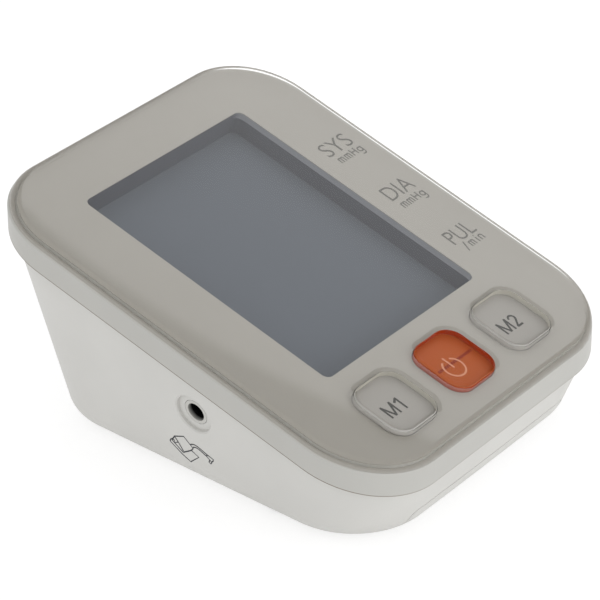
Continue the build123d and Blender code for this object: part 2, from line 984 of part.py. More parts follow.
def make_contact_plates():
    """Flat contacts on the bay's front wall."""
    half = contact_width / 2
    rear = bay_front_y + contact_thickness
    return [
        block((x - half, bay_front_y, cell_axis - half), (x + half, rear, cell_axis + half))
        for x in cell_columns
    ]


def make_contact_springs():
    """Bowed leaf contacts on the bay's rear wall."""
    half = contact_width / 2
    back = bay_rear_y
    crest = back - spring_depth
    slim = half - spring_taper
    leaves = []
    for x in cell_columns:
        outer = ThreePointArc((back, -half), (crest, 0), (back, half))
        inner = ThreePointArc((back, -slim), (crest + contact_thickness, 0), (back, slim))
        ends = [Line(outer @ 0, inner @ 0), Line(outer @ 1, inner @ 1)]
        face = Face(Wire([outer.edge(), inner.edge()] + [end.edge() for end in ends]))
        leaf = extrude(face, contact_width, dir=(0, 0, 1))
        turn = Location(Plane(origin=(x - half, 0, cell_axis), x_dir=(0, 1, 0), z_dir=(1, 0, 0)))
        leaves.append(turn * leaf)
    return leaves


def make_case_screws():
    """Case screws, each with its head in a well."""
    screws = []
    for x, y in screw_places:
        head = rod(screw_head_radius, (x, y, well_top - screw_head_height), (x, y, well_top))
        shank = rod(screw_radius, (x, y, well_top), (x, y, well_top + screw_length))
        screws.append(head + shank)
    return screws


# Air side

def hose(points, bend=None):
    """Hose along straight runs joined by arcs."""
    if len(points) > 2:
        path = FilletPolyline(*points, radius=bend)
    else:
        path = Line(*points)
    start = Plane(origin=path @ 0, z_dir=path % 0)
    ring = Circle(hose_radius) - Circle(nipple_radius + hose_fit)
    return sweep(Location(start) * ring, path=path)


def nipple(start, end):
    """Short tube that a hose slips over, with its root sunk into its block."""
    direction = (Vector(end) - Vector(start)).normalized()
    return rod(nipple_radius, Vector(start) - direction * nipple_root, end)


def nipple_bore_rod(start, end, depth):
    """Passage through a nipple and on into its block."""
    direction = (Vector(end) - Vector(start)).normalized()
    return rod(nipple_bore, Vector(start) - direction * depth, end)


socket_end = (port_place * Pos(0, 0, -port_body_depth + nipple_radius + 1)).position
socket_bend = Vector(socket_hose_x, socket_hose_y, valve_hose_height - socket_bend_drop)
socket_aim = (socket_bend - socket_end).normalized()
socket_barb = socket_end + socket_aim * (port_outer_radius + 0.6)
sensor_low = front_point(sensor_x, sensor_slope, -board_depth - board_thickness - sensor_height)
front_normal = front_point(0, 0, 1) - front_point(0, 0, 0)
sensor_foot = sensor_low - front_normal * ((sensor_low.Z - manifold_high) / front_normal.Z)


def make_air_socket():
    """Socket in the left wall, with a flange behind the wall and a barb for its hose."""
    body = port_place * rod(port_outer_radius, (0, 0, -port_body_depth), (0, 0, -port_recess_depth))
    flange_out = -shell_wall - port_flange_gap
    flange_in = flange_out - port_flange_thickness
    flange = port_place * rod(port_flange_radius, (0, 0, flange_in), (0, 0, flange_out))
    barb_end = socket_barb + socket_aim * nipple_length
    socket = body + flange + rod(nipple_radius, socket_end, barb_end)
    bore_end = -port_recess_depth - port_bore_length
    socket -= port_place * rod(port_bore_radius, (0, 0, bore_end), (0, 0, 1))
    throat_end = -port_body_depth + port_end_wall
    socket -= port_place * rod(port_throat_radius, (0, 0, throat_end), (0, 0, 1))
    return socket - rod(nipple_bore, socket_end, barb_end + socket_aim)


def make_manifold():
    """Block that joins the hoses."""
    main = block(
        (manifold_left, manifold_front, manifold_low),
        (manifold_right, manifold_rear, manifold_high),
    )
    main += block(
        (manifold_right - 1, manifold_front, manifold_low),
        (manifold_wing_right, manifold_wing_rear, manifold_high),
    )
    up = Vector(0, 0, nipple_length)
    roots = [
        (Vector(manifold_right, pump_y, pump_height), Vector(nipple_length, 0, 0)),
        (Vector(socket_hose_x, socket_hose_y, manifold_high), up),
        (Vector(valve_hose_x, pump_y, manifold_high), up),
        (sensor_foot, front_normal * (nipple_length - sensor_nipple_gap)),
    ]
    for start, reach in roots:
        main += nipple(start, start + reach)
    for start, reach in roots:
        main -= nipple_bore_rod(start, start + reach, nipple_root + 1)
    return main


def make_pressure_sensor():
    """Sensor on the underside of the main board, with its nipple pointing down."""
    top = -board_depth - board_thickness
    half = sensor_size / 2
    body = block(
        (sensor_x - half, sensor_slope - half, top - sensor_height),
        (sensor_x + half, sensor_slope + half, top),
    )
    tip = top - sensor_height - nipple_length + sensor_nipple_gap
    body += rod(nipple_radius, (sensor_x, sensor_slope, tip), (sensor_x, sensor_slope, top - 1))
    body -= rod(nipple_bore, (sensor_x, sensor_slope, tip - 1), (sensor_x, sensor_slope, top - 2))
    return front * body


def make_socket_hose():
    """Hose from the socket in the wall to the block."""
    end = Vector(socket_hose_x, socket_hose_y, manifold_high)
    return hose([socket_barb, socket_bend, end], socket_hose_bend)


def make_pump_hose():
    """Hose from the pump to the block."""
    return hose([(cover_left, pump_y, pump_height), (manifold_right, pump_y, pump_height)])


def make_valve_hose():
    """Hose from the block over the pump to the valve."""
    points = [
        (valve_hose_x, pump_y, manifold_high),
        (valve_hose_x, pump_y, valve_hose_height),
        (valve_x, pump_y, valve_hose_height),
        (valve_x, pump_y, valve_low + valve_height + valve_cap_height),
    ]
    return hose(points, valve_hose_bend)


def make_sensor_hose():
    """Short hose from the block up to the pressure sensor."""
    low = sensor_foot + front_normal * (hose_radius * math.tan(tilt) + fit_gap)
    return hose([low, sensor_low])


# Pump, along X

def pump_rod(radius, left, right, throw=0):
    """Round form on the pump's axis, or beside it by a throw."""
    return rod(radius, (left, pump_y, pump_height + throw), (right, pump_y, pump_height + throw))


def pump_block(left, right):
    """Square form on the pump's axis."""
    half = head_size / 2
    return block((left, pump_y - half, pump_height - half), (right, pump_y + half, pump_height + half))


def make_motor_can():
    """Drawn can of the pump's motor."""
    can = pump_rod(motor_radius, motor_left, motor_right)
    can -= pump_rod(motor_radius - motor_wall, motor_left + 1, motor_right - 1)
    return can - pump_rod(shaft_radius + shaft_gap, motor_left - 1, motor_right + 1)


def make_rotor():
    """Wound rotor inside the can."""
    return pump_rod(rotor_radius, rotor_left, rotor_right) - pump_rod(shaft_radius, rotor_left, rotor_right)


def make_shaft():
    """Motor shaft."""
    return pump_rod(shaft_radius, crank_left, motor_right + 0.5)


def make_crank():
    """Disc on the shaft with a pin beside its middle."""
    crank = pump_rod(crank_radius, crank_left, crank_right)
    crank += pump_rod(shaft_radius, crank_pin_left, crank_left, crank_throw)
    return crank - pump_rod(shaft_radius, crank_left, crank_right)


def make_pump_housing():
    """Box of the pump's head, on the motor's end."""
    housing = pump_block(housing_left, motor_left)
    housing -= pump_rod(head_cavity_radius, housing_left, motor_left - 1.5)
    return housing - pump_rod(2 * shaft_radius, housing_left, motor_left)


def make_diaphragm():
    """Rubber sheet between the head's box and its cover."""
    plate = pump_block(housing_left - diaphragm_thickness, housing_left)
    return fillet(plate.edges().filter_by(Axis.X), head_corner)


def make_pump_cover():
    """Cover of the pump's head, with its outlet."""
    right = housing_left - diaphragm_thickness
    cover = pump_block(cover_left, right)
    cover = fillet(cover.edges().filter_by(Axis.X), head_corner)
    cover += pump_rod(nipple_radius, cover_left - nipple_length, cover_left + 1)
    cover -= pump_rod(head_cavity_radius - 1, right - 3, right)
    return cover - pump_rod(nipple_bore, cover_left - nipple_length - 1, right)


def make_sleeve():
    """Foam sleeve that carries the motor in its saddles."""
    outer = motor_radius + sleeve_thickness
    inner = pump_rod(motor_radius, sleeve_left, sleeve_right)
    return pump_rod(outer, sleeve_left, sleeve_right) - inner


# Valve, upright

def valve_rod(radius, low, high):
    """Upright round form on the valve's axis."""
    return rod(radius, (valve_x, valve_y, low), (valve_x, valve_y, high))


def valve_block(half_width, half_length, low, high):
    """Square form on the valve's axis."""
    return block(
        (valve_x - half_width, valve_y - half_length, low),
        (valve_x + half_width, valve_y + half_length, high),
    )


valve_high = valve_low + valve_height


def make_valve_frame():
    """Steel bracket round the coil, with the fixed core under the plunger."""
    frame = valve_block(valve_half_width, valve_half_length, valve_low, valve_high)
    inner_length = valve_half_length - valve_plate
    frame -= valve_block(far, inner_length, valve_low + valve_plate, valve_high - valve_plate)
    frame -= valve_rod(valve_bore_radius, valve_high - 2 * valve_plate, valve_high + 1)
    core_high = valve_low + valve_plate + valve_core_height
    return frame + valve_rod(valve_plunger_radius, valve_low, core_high)


def make_valve_coil():
    """Winding round the plunger."""
    low = valve_low + valve_plate
    high = valve_high - valve_plate
    return valve_rod(valve_coil_radius, low, high) - valve_rod(valve_bore_radius, low, high)


def make_valve_plunger():
    """Plunger on the core, with room above it to lift."""
    core_high = valve_low + valve_plate + valve_core_height
    return valve_rod(valve_plunger_radius, core_high, valve_high - valve_travel)


def make_valve_cap():
    """Cap on the bracket, with the nipple for the hose."""
    top = valve_high + valve_cap_height
    tip = top + nipple_length
    cap = valve_block(valve_half_width - 0.5, valve_half_length - 1, valve_high, top)
    cap += rod(nipple_radius, (valve_x, pump_y, top - 1), (valve_x, pump_y, tip))
    return cap - rod(nipple_bore, (valve_x, pump_y, valve_high + 1), (valve_x, pump_y, tip + 1))


# Speaker and adapter socket

def make_speaker_frame():
    """Pressed basket with its rim against the wall."""
    face = -shell_wall
    low = face - speaker_rim_depth
    back = low - speaker_basket_depth
    rim = pipe(speaker_radius, speaker_cone_radius, (0, 0, low), (0, 0, face))
    basket = rod(speaker_cone_radius + speaker_wall, (0, 0, back), (0, 0, low))
    basket -= rod(speaker_cone_radius - speaker_wall, (0, 0, back + speaker_wall), (0, 0, low))
    basket -= rod(speaker_magnet_radius - 2, (0, 0, back - 1), (0, 0, low))
    return speaker_place * (rim + basket)


def make_speaker_cone():
    """Thin cone inside the basket."""
    rim = -shell_wall - speaker_rim_depth
    depth = speaker_basket_depth - 2 * speaker_wall
    cone = Cone(speaker_magnet_radius - 3, speaker_cone_radius - speaker_wall - pilot_gap, depth)
    outer = Pos(0, 0, rim - depth / 2) * cone
    inner = Pos(0, 0, rim - depth / 2 + speaker_paper) * cone
    return speaker_place * (outer - inner)


def make_speaker_magnet():
    """Magnet on the basket's back."""
    top = -shell_wall - speaker_rim_depth - speaker_basket_depth
    return speaker_place * rod(speaker_magnet_radius, (0, 0, top - speaker_magnet_depth), (0, 0, top))


def make_dc_jack():
    """Adapter socket: a block with a round collar through the rear wall, a bore and its pin."""
    mouth = rear_wall_place(jack_x, jack_height).position.Y - jack_mouth_recess
    body = block(
        (jack_x - jack_half_width, jack_front_y, jack_height - jack_half_height),
        (jack_x + jack_half_width, jack_rear_y, jack_height + jack_half_height),
    )
    body += rod(jack_collar_radius, (jack_x, jack_rear_y - 1, jack_height), (jack_x, mouth, jack_height))
    bore_end = mouth - jack_bore_depth
    body -= rod(jack_bore_radius, (jack_x, bore_end, jack_height), (jack_x, mouth + 1, jack_height))
    pin_tip = (jack_x, mouth - jack_pin_recess, jack_height)
    return body + rod(jack_pin_radius, (jack_x, bore_end - 1, jack_height), pin_tip)


# Every node with its solid or group of solids

nodes = {
    "lower_shell": make_lower_shell(),
    "top_cover": make_top_cover(),
    "front_lens": make_front_lens(),
    "panel_film": make_panel_film(),
    "display_frame": make_display_frame(),
    "lcd_glass": make_lcd_glass(),
    "lcd_reflector": make_lcd_reflector(),
    "lcd_connector": make_lcd_connector(),
    "lcd_foam_strips": make_lcd_foam_strips(),
    "main_board": make_main_board(),
    "board_screws": make_board_screws(),
    "microcontroller": chip(controller_x, controller_slope, controller_size, controller_height),
    "speech_chip": chip(speech_chip_x, speech_chip_slope, speech_chip_size, speech_chip_height),
    "board_capacitors": make_board_capacitors(),
    "key_board": make_key_board(),
    "key_board_screws": make_key_board_screws(),
    "flat_cable": make_flat_cable(),
    "switch_housings": make_switch_housings(),
    "battery_door": make_battery_door(),
    "aa_cells": make_cells(),
    "contact_plates": make_contact_plates(),
    "contact_springs": make_contact_springs(),
    "rubber_feet": make_feet(0, body_bottom + foot_recess),
    "case_screws": make_case_screws(),
    "air_socket": make_air_socket(),
    "air_manifold": make_manifold(),
    "pressure_sensor": make_pressure_sensor(),
    "socket_hose": make_socket_hose(),
    "pump_hose": make_pump_hose(),
    "valve_hose": make_valve_hose(),
    "sensor_hose": make_sensor_hose(),
    "pump_motor_can": make_motor_can(),
    "pump_rotor": make_rotor(),
    "pump_shaft": make_shaft(),
    "pump_crank": make_crank(),
    "pump_housing": make_pump_housing(),
    "pump_diaphragm": make_diaphragm(),
    "pump_cover": make_pump_cover(),
    "pump_sleeve": make_sleeve(),
    "valve_frame": make_valve_frame(),
    "valve_coil": make_valve_coil(),
    "valve_plunger": make_valve_plunger(),
    "valve_cap": make_valve_cap(),
    "speaker_frame": make_speaker_frame(),
    "speaker_cone": make_speaker_cone(),
    "speaker_magnet": make_speaker_magnet(),
    "dc_jack": make_dc_jack(),
}
for name, x in zip(("m1", "power", "m2"), key_columns):
    nodes[f"key_{name}_cap"] = make_key_cap(x)
    nodes[f"key_{name}_base"] = make_key_base(x)
    nodes[f"{name}_switch_plunger"] = make_switch_plunger(x)

os.makedirs("parts", exist_ok=True)
for name, shape in nodes.items():
    solids = shape if isinstance(shape, list) else [shape]
    flat = [solid for group in solids for solid in group.solids()]
    export_step(flat[0] if len(flat) == 1 else Compound(children=flat), f"parts/{name}.step")
    print(name, len(flat), round(sum(solid.volume for solid in flat), 1))
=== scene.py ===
import json
import math

import bmesh
import bpy
from bpy.props import FloatProperty, FloatVectorProperty, IntProperty, PointerProperty
from mathutils import Matrix, Vector
from mathutils.bvhtree import BVHTree


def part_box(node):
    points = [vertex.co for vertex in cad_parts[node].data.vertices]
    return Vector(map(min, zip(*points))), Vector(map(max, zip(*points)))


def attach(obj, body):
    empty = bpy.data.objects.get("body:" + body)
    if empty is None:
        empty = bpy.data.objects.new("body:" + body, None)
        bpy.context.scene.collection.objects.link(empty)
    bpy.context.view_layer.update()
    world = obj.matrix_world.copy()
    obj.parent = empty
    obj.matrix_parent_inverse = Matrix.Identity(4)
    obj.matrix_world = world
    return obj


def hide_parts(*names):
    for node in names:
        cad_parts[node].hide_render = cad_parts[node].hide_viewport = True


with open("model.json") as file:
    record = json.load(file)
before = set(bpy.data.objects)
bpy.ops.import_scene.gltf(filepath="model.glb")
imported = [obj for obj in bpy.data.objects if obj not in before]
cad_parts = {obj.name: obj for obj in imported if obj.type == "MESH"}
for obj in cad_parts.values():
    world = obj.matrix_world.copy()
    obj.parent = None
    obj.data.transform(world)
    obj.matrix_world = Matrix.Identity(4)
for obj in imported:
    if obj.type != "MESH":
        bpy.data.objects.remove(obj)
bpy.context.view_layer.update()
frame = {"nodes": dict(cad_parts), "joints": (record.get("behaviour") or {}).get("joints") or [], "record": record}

bl_info = {
    "name": "Talking blood pressure monitor",
    "version": (1, 0, 0),
    "blender": (4, 5, 0),
    "location": "View3D > Sidebar > Monitor",
    "description": "Finishes and detailed pieces of a table-top blood pressure monitor",
    "category": "Object",
}

# Pieces are modelled in millimetres and brought to the frame's metres when they are finished
MM = 0.001


# Directions and places, from the frame

def named(items, name):
    """The joint or mount with a name."""
    return [item for item in items if item["name"] == name][0]


def middle(node):
    """Middle of a node's box."""
    low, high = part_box(node)
    return (low + high) / 2


out_of_front = -Vector(named(frame["joints"], "key_power_press")["axis"]).normalized()
up_the_front = out_of_front.cross(Vector((1, 0, 0)))
tilt = math.atan2(up_the_front.z, up_the_front.y)

# The front's own directions start on its print, over the middle of the display's glass
glass_depth = 7.4
front_middle = middle("lcd_glass") + out_of_front * glass_depth * MM
front = Matrix.Translation(front_middle) @ Matrix.Rotation(tilt, 4, "X")


def in_front(node):
    """A node's lowest and highest corner in the tilted front's own directions, in millimetres."""
    back = front.inverted()
    places = [back @ v.co / MM for v in frame["nodes"][node].data.vertices]
    low = Vector([min(p[i] for p in places) for i in range(3)])
    high = Vector([max(p[i] for p in places) for i in range(3)])
    return low, high


# Settings

def colour(code):
    """Linear colour of a six-digit screen colour."""
    parts = [int(code[i:i + 2], 16) / 255 for i in (0, 2, 4)]
    return tuple(p / 12.92 if p <= 0.04045 else ((p + 0.055) / 1.055) ** 2.4 for p in parts)


def colour_setting(name, description, code):
    """Colour of a finish."""
    return FloatVectorProperty(
        name=name, description=description, subtype="COLOR", size=3, min=0, max=1, default=colour(code),
    )


def length_setting(name, description, millimetres):
    """Length on a piece."""
    return FloatProperty(
        name=name, description=description, unit="LENGTH", default=millimetres * MM, precision=5,
    )


def count_setting(name, description, count):
    """Number of faces round a curve."""
    return IntProperty(name=name, description=description, default=count, min=1)


class FinishSettings(bpy.types.PropertyGroup):
    """Colours of the object's finishes."""

    shell: colour_setting("Shell", "Lower housing and battery door", "D4D3CF")
    cover: colour_setting("Cover", "Upper housing", "BEBDB8")
    film: colour_setting("Front print", "Printed film under the clear plate", "AAA69F")
    film_mark: colour_setting("Print marks", "Lettering on the printed film", "605E58")
    display: colour_setting("Display", "Face of the unlit display", "636972")
    window: colour_setting("Window wall", "Wall of the recessed window", "4B4E59")
    # Painted highlight: lighter tone of the upper strip of the window's right wall, where light falls
    window_wall_highlight: colour_setting("Window edge", "Upper strip of the window's right wall", "9FA1A8")
    key: colour_setting("Clear keys", "Print under the clear key caps", "ABA7A2")
    key_wall: colour_setting("Clear walls", "Inner side of the clear key caps' walls", "C6C2B6")
    # Outer side of the clear caps' walls; the same tone is painted on their rounded edge as a highlight
    key_outside_and_highlight: colour_setting("Clear edges", "Outer side and edge of the clear key caps", "CFCDC8")
    key_mark: colour_setting("Key marks", "Lettering on the clear keys", "3F3E3B")
    orange: colour_setting("Orange key", "Print under the orange key cap", "B25312")
    orange_wall: colour_setting("Orange wall", "Inner side of the orange key cap's walls", "AE3800")
    orange_edge: colour_setting("Orange edge", "Outer side of the orange key cap", "AC3E06")
    # Raised rib across the orange key; its dark tone is painted shade along the rib
    orange_rib_shade: colour_setting("Orange rib", "Bar across the orange key", "8C2600")
    # Painted highlight: light tone on the orange cap's rounded rim
    orange_highlight: colour_setting("Orange rim", "Rounded rim of the orange key cap", "CF7B4E")
    symbol: colour_setting("Orange key's symbol", "Power symbol on the orange key", "D6A08A")
    ink: colour_setting("Side mark", "Line drawing beside the hose socket", "303238")
    # Painted shade: tone of the parting line's shadow along the cover's lower edge
    seam: colour_setting("Seam", "Shade in the parting line under the cover", "847A6E")


class PlateSettings(bpy.types.PropertyGroup):
    """Sizes of the clear plate."""

    near_corner: length_setting("Front corners", "Radius of the two corners near the user", 21.15)
    away_corner: length_setting("Rear corners", "Radius of the two rear corners", 19.45)
    edge_round: length_setting("Edge round", "Radius of the quarter-round edge", 2.1)
    rim: length_setting("Rim", "Width of the foot round the printed film", 1.7)
    film_gap: length_setting("Film gap", "Space between the printed film and the plate", 0.06)
    foot_gap: length_setting("Foot gap", "Space between the plate's foot and the cover", 0.03)
    dish: length_setting("Dish", "Width of the soft dish round each key", 1.3)
    dish_depth: length_setting("Dish depth", "How far the dish sinks at the key", 0.08)
    mouth_round: length_setting("Mouth round", "Round at the mouth of each key's opening", 0.15)
    edge_steps: count_setting("Edge steps", "Faces round the plate's edge", 10)


class KeySettings(bpy.types.PropertyGroup):
    """Sizes of the keys."""

    corner: length_setting("Corner", "Radius of the keys' corners", 4.6)
    gap: length_setting("Gap", "Clearance round the keys", 0.14)
    edge_round: length_setting("Edge round", "Round along the top of a cap", 0.4)
    edge_steps: count_setting("Edge steps", "Faces round a cap's edge", 6)


class StageSettings(bpy.types.PropertyGroup):
    """Camera, floor and light."""

    lens: FloatProperty(name="Lens", description="Focal length on a 36 mm wide sensor", default=204.24)
    camera_place: FloatVectorProperty(
        name="Camera place", description="Where the camera stands", subtype="TRANSLATION",
        size=3, default=(-0.56002, -0.41157, 0.41887),
    )
    azimuth: FloatProperty(
        name="Azimuth", description="Camera's turn round the object", subtype="ANGLE",
        default=math.radians(-53.5766),
    )
    elevation: FloatProperty(
        name="Elevation", description="Camera's angle above the horizon", subtype="ANGLE",
        default=math.radians(29.2742),
    )
    sky_level: FloatProperty(
        name="Sky level", description="Strength of the light from all round", default=0.84,
    )
    floor_level: FloatProperty(
        name="Floor level", description="Light that the white floor adds from below", default=0.25,
    )
    mirror_level: FloatProperty(
        name="Mirror level", description="Strength of the brightest area, in a mirror image", default=2.1,
    )
    dark_level: FloatProperty(
        name="Dark level", description="Strength of the dim ring, in a mirror image", default=0.0,
    )
    bright_level: FloatProperty(
        name="Bright level", description="Strength inside the dim ring, in a mirror image", default=1.45,
    )
    rest_level: FloatProperty(
        name="Rest level", description="Strength of all else, in a mirror image", default=0.7,
    )
    lamp_power: FloatProperty(
        name="Lamp power", description="Power of the soft lamp before the object", default=2.5,
    )


# Materials

# A noise keeps near its middle, mostly between these two values
NOISE_LOW = 0.3
NOISE_HIGH = 0.7

# Places of the colour sockets on a Mix node
FIRST_TONE = 6
SECOND_TONE = 7
MIXED_TONE = 2


def new_material(name):
    """Empty node material and its node tree."""
    material = bpy.data.materials.new(name)
    material.use_nodes = True
    material.node_tree.nodes.clear()
    return material, material.node_tree


def add(tree, kind, inputs=None, **settings):
    """Adds a node with values for its input sockets and its own settings."""
    node = tree.nodes.new(kind)
    for key, value in settings.items():
        setattr(node, key, value)
    for key, value in (inputs or {}).items():
        node.inputs[key].default_value = value
    return node


def join(tree, source, target):
    """Links an output socket to an input socket."""
    tree.links.new(source, target)


def finish_with(tree, surface):
    """Gives a tree its output."""
    output = add(tree, "ShaderNodeOutputMaterial")
    join(tree, surface, output.inputs["Surface"])


def noise(tree, scale, detail=2, roughness=0.5):
    """Noise on the object's own coordinates, in features per metre."""
    place = add(tree, "ShaderNodeTexCoord")
    values = {"Scale": scale, "Detail": detail, "Roughness": roughness}
    texture = add(tree, "ShaderNodeTexNoise", values)
    join(tree, place.outputs["Object"], texture.inputs["Vector"])
    return texture.outputs["Fac"]


def spread(tree, value, low, high):
    """Stretches a noise over a range."""
    values = {"From Min": NOISE_LOW, "From Max": NOISE_HIGH, "To Min": low, "To Max": high}
    node = add(tree, "ShaderNodeMapRange", values)
    join(tree, value, node.inputs["Value"])
    return node.outputs["Result"]


def shade(rgb, factor=1.0):
    """A colour made lighter or darker, with its alpha."""
    return tuple(min(1.0, c * factor) for c in rgb[:3]) + (1.0,)


def two_tone(tree, value, rgb, vary):
    """Colour that wanders a little lighter and darker."""
    ramp = add(tree, "ShaderNodeValToRGB")
    ends = ramp.color_ramp.elements
    ends[0].position = NOISE_LOW
    ends[0].color = shade(rgb, 1 - vary)
    ends[1].position = NOISE_HIGH
    ends[1].color = shade(rgb, 1 + vary)
    join(tree, value, ramp.inputs["Fac"])
    return ramp.outputs["Color"]


def relief(tree, surface, height, strength):
    """Gives a surface a relief of up to a tenth of a millimetre."""
    bump = add(tree, "ShaderNodeBump", {"Strength": strength, "Distance": 0.1 * MM})
    join(tree, height, bump.inputs["Height"])
    join(tree, bump.outputs["Normal"], surface.inputs["Normal"])


def roughen(tree, surface, value, low, high):
    """Lets a surface's roughness wander over a range."""
    join(tree, spread(tree, value, low, high), surface.inputs["Roughness"])


def moulded(name, rgb, roughness, grain=0.1, grain_scale=2500, vary=0.02, metallic=0.0):
    """Moulded or pressed surface: a slow change of colour, and a fine grain in relief and roughness."""
    material, tree = new_material(name)
    surface = add(tree, "ShaderNodeBsdfPrincipled", {"Metallic": metallic})
    slow = noise(tree, scale=60, detail=3)
    uneven = 0.05
    join(tree, two_tone(tree, slow, rgb, vary), surface.inputs["Base Color"])
    fine = noise(tree, grain_scale, roughness=0.6)
    roughen(tree, surface, fine, roughness - uneven, roughness + uneven)
    relief(tree, surface, fine, grain)
    finish_with(tree, surface.outputs["BSDF"])
    return material


def film_print(name, rgb):
    """Dull print of the front."""
    return moulded(name, rgb, 0.55, grain=0.05, grain_scale=3000, vary=0.01)


def clear(name, rgb, ior=1.49):
    """Clear plastic: what is behind shows, a little tinted, under a mirror that grows with the angle."""
    material, tree = new_material(name)
    see = add(tree, "ShaderNodeBsdfTransparent", {"Color": shade(rgb)})
    gloss = add(tree, "ShaderNodeBsdfGlossy")
    roughen(tree, gloss, noise(tree, scale=900), low=0.014, high=0.026)
    edge = add(tree, "ShaderNodeFresnel", {"IOR": ior})
    face = add(tree, "ShaderNodeNewGeometry")
    outside = add(tree, "ShaderNodeMath", {0: 1.0}, operation="SUBTRACT")
    join(tree, face.outputs["Backfacing"], outside.inputs[1])
    share = add(tree, "ShaderNodeMath", operation="MULTIPLY")
    join(tree, edge.outputs["Fac"], share.inputs[0])
    join(tree, outside.outputs[0], share.inputs[1])
    finish_with(tree, mixed(tree, share.outputs[0], see.outputs["BSDF"], gloss.outputs["BSDF"]))
    return material


def mixed(tree, share, first, second):
    """Mix of two surfaces, with the second one's share."""
    mix = add(tree, "ShaderNodeMixShader")
    join(tree, share, mix.inputs["Fac"])
    join(tree, first, mix.inputs[1])
    join(tree, second, mix.inputs[2])
    return mix.outputs["Shader"]


def bending(name, rgb):
    """Clear plastic that bends what is seen through it, and lets the light through straight."""
    material, tree = new_material(name)
    glass = add(tree, "ShaderNodeBsdfGlass", {"Color": shade(rgb), "IOR": 1.33})
    roughen(tree, glass, noise(tree, scale=900), low=0.14, high=0.2)
    see = add(tree, "ShaderNodeBsdfTransparent", {"Color": shade(rgb)})
    path = add(tree, "ShaderNodeLightPath")
    light = add(tree, "ShaderNodeMath", operation="MAXIMUM")
    join(tree, path.outputs["Is Shadow Ray"], light.inputs[0])
    join(tree, path.outputs["Is Diffuse Ray"], light.inputs[1])
    finish_with(tree, mixed(tree, light.outputs[0], glass.outputs["BSDF"], see.outputs["BSDF"]))
    return material


def two_sided(name, outer, inner, gloss=0.5):
    """Wall of a clear block: one tone from outside, another one through the block."""
    material, tree = new_material(name)
    value = noise(tree, scale=300, detail=3)
    face = add(tree, "ShaderNodeNewGeometry")
    tone = add(tree, "ShaderNodeMix", data_type="RGBA")
    join(tree, face.outputs["Backfacing"], tone.inputs["Factor"])
    join(tree, two_tone(tree, value, outer, vary=0.03), tone.inputs[FIRST_TONE])
    join(tree, two_tone(tree, value, inner, vary=0.05), tone.inputs[SECOND_TONE])
    values = {"Roughness": 0.3, "Specular IOR Level": gloss}
    surface = add(tree, "ShaderNodeBsdfPrincipled", values)
    join(tree, tone.outputs[MIXED_TONE], surface.inputs["Base Color"])
    finish_with(tree, surface.outputs["BSDF"])
    return material


def painted_edge_highlight(name, rgb, share):
    """Rounded edge of a clear block with a painted highlight: part of what is behind shows, under a light tone."""
    material, tree = new_material(name)
    see = add(tree, "ShaderNodeBsdfTransparent")
    surface = add(tree, "ShaderNodeBsdfPrincipled")
    slow = noise(tree, scale=300, detail=3)
    join(tree, two_tone(tree, slow, rgb, vary=0.03), surface.inputs["Base Color"])
    fine = noise(tree, scale=2500)
    uneven = 0.05
    roughen(tree, surface, fine, low=0.15, high=0.25)
    body = spread(tree, fine, share - uneven, share + uneven)
    finish_with(tree, mixed(tree, body, see.outputs["BSDF"], surface.outputs["BSDF"]))
    return material


def band(tree, direction, start, end):
    """Mask that goes from 0 to 1 between two places along a direction."""
    place = add(tree, "ShaderNodeTexCoord")
    along = add(tree, "ShaderNodeVectorMath", {1: direction}, operation="DOT_PRODUCT")
    join(tree, place.outputs["Object"], along.inputs[0])
    mask = add(tree, "ShaderNodeMapRange", {"From Min": start, "From Max": end})
    join(tree, along.outputs["Value"], mask.inputs["Value"])
    return mask.outputs["Result"]


def height_band(tree, start, end):
    """Mask that goes from 0 to 1 between two heights over the front's print, in millimetres."""
    level = out_of_front.dot(front_middle)
    return band(tree, out_of_front, level + start * MM, level + end * MM)


def tint(material, mask, rgb):
    """Turns a finish into another tone where a mask is 1."""
    tree = material.node_tree
    surface = tree.nodes["Principled BSDF"]
    base = surface.inputs["Base Color"].links[0].from_socket
    tone = add(tree, "ShaderNodeMix", {SECOND_TONE: shade(rgb)}, data_type="RGBA")
    join(tree, mask, tone.inputs["Factor"])
    join(tree, base, tone.inputs[FIRST_TONE])
    join(tree, tone.outputs[MIXED_TONE], surface.inputs["Base Color"])


def paint(node, material):
    """Gives a CAD node its finish."""
    piece = frame["nodes"][node]
    if piece.material_slots:
        for place in piece.material_slots:
            place.material = material
    else:
        piece.data.materials.append(material)


# Modelling

# Faces round each corner in plan, the angle from which an edge stays sharp, and the thickness of ink
CORNER_STEPS = 14
SHARP_ANGLE = math.radians(38)
INK = 0.02

# Least share of a face's normal that points out of the front, for a level face, and the width of the
# level ring beside a rounded edge
LEVEL = 0.9
LEVEL_RING = 0.3


def face_at(form, x, y, height):
    """The level face whose middle is nearest to a place."""
    level = [face for face in form.faces if abs(face.normal.z) > LEVEL or face.normal.length == 0]
    return min(level, key=lambda face: (face.calc_center_bounds() - Vector((x, y, height))).length)


def rounded_face(form, low, high, near_corner, away_corner, height):
    """Adds a level face between two corners in plan, rounded near the user and away from the user."""
    corners = [
        form.verts.new((x, y, height))
        for x, y in ((high[0], low[1]), (high[0], high[1]), (low[0], high[1]), (low[0], low[1]))
    ]
    form.faces.new(corners)
    for pair, radius in ((corners[::3], near_corner), (corners[1:3], away_corner)):
        bmesh.ops.bevel(
            form, geom=pair, offset=radius, segments=CORNER_STEPS, profile=0.5,
            affect="VERTICES", material=-1,
        )
    form.normal_update()
    return face_at(form, (low[0] + high[0]) / 2, (low[1] + high[1]) / 2, height)


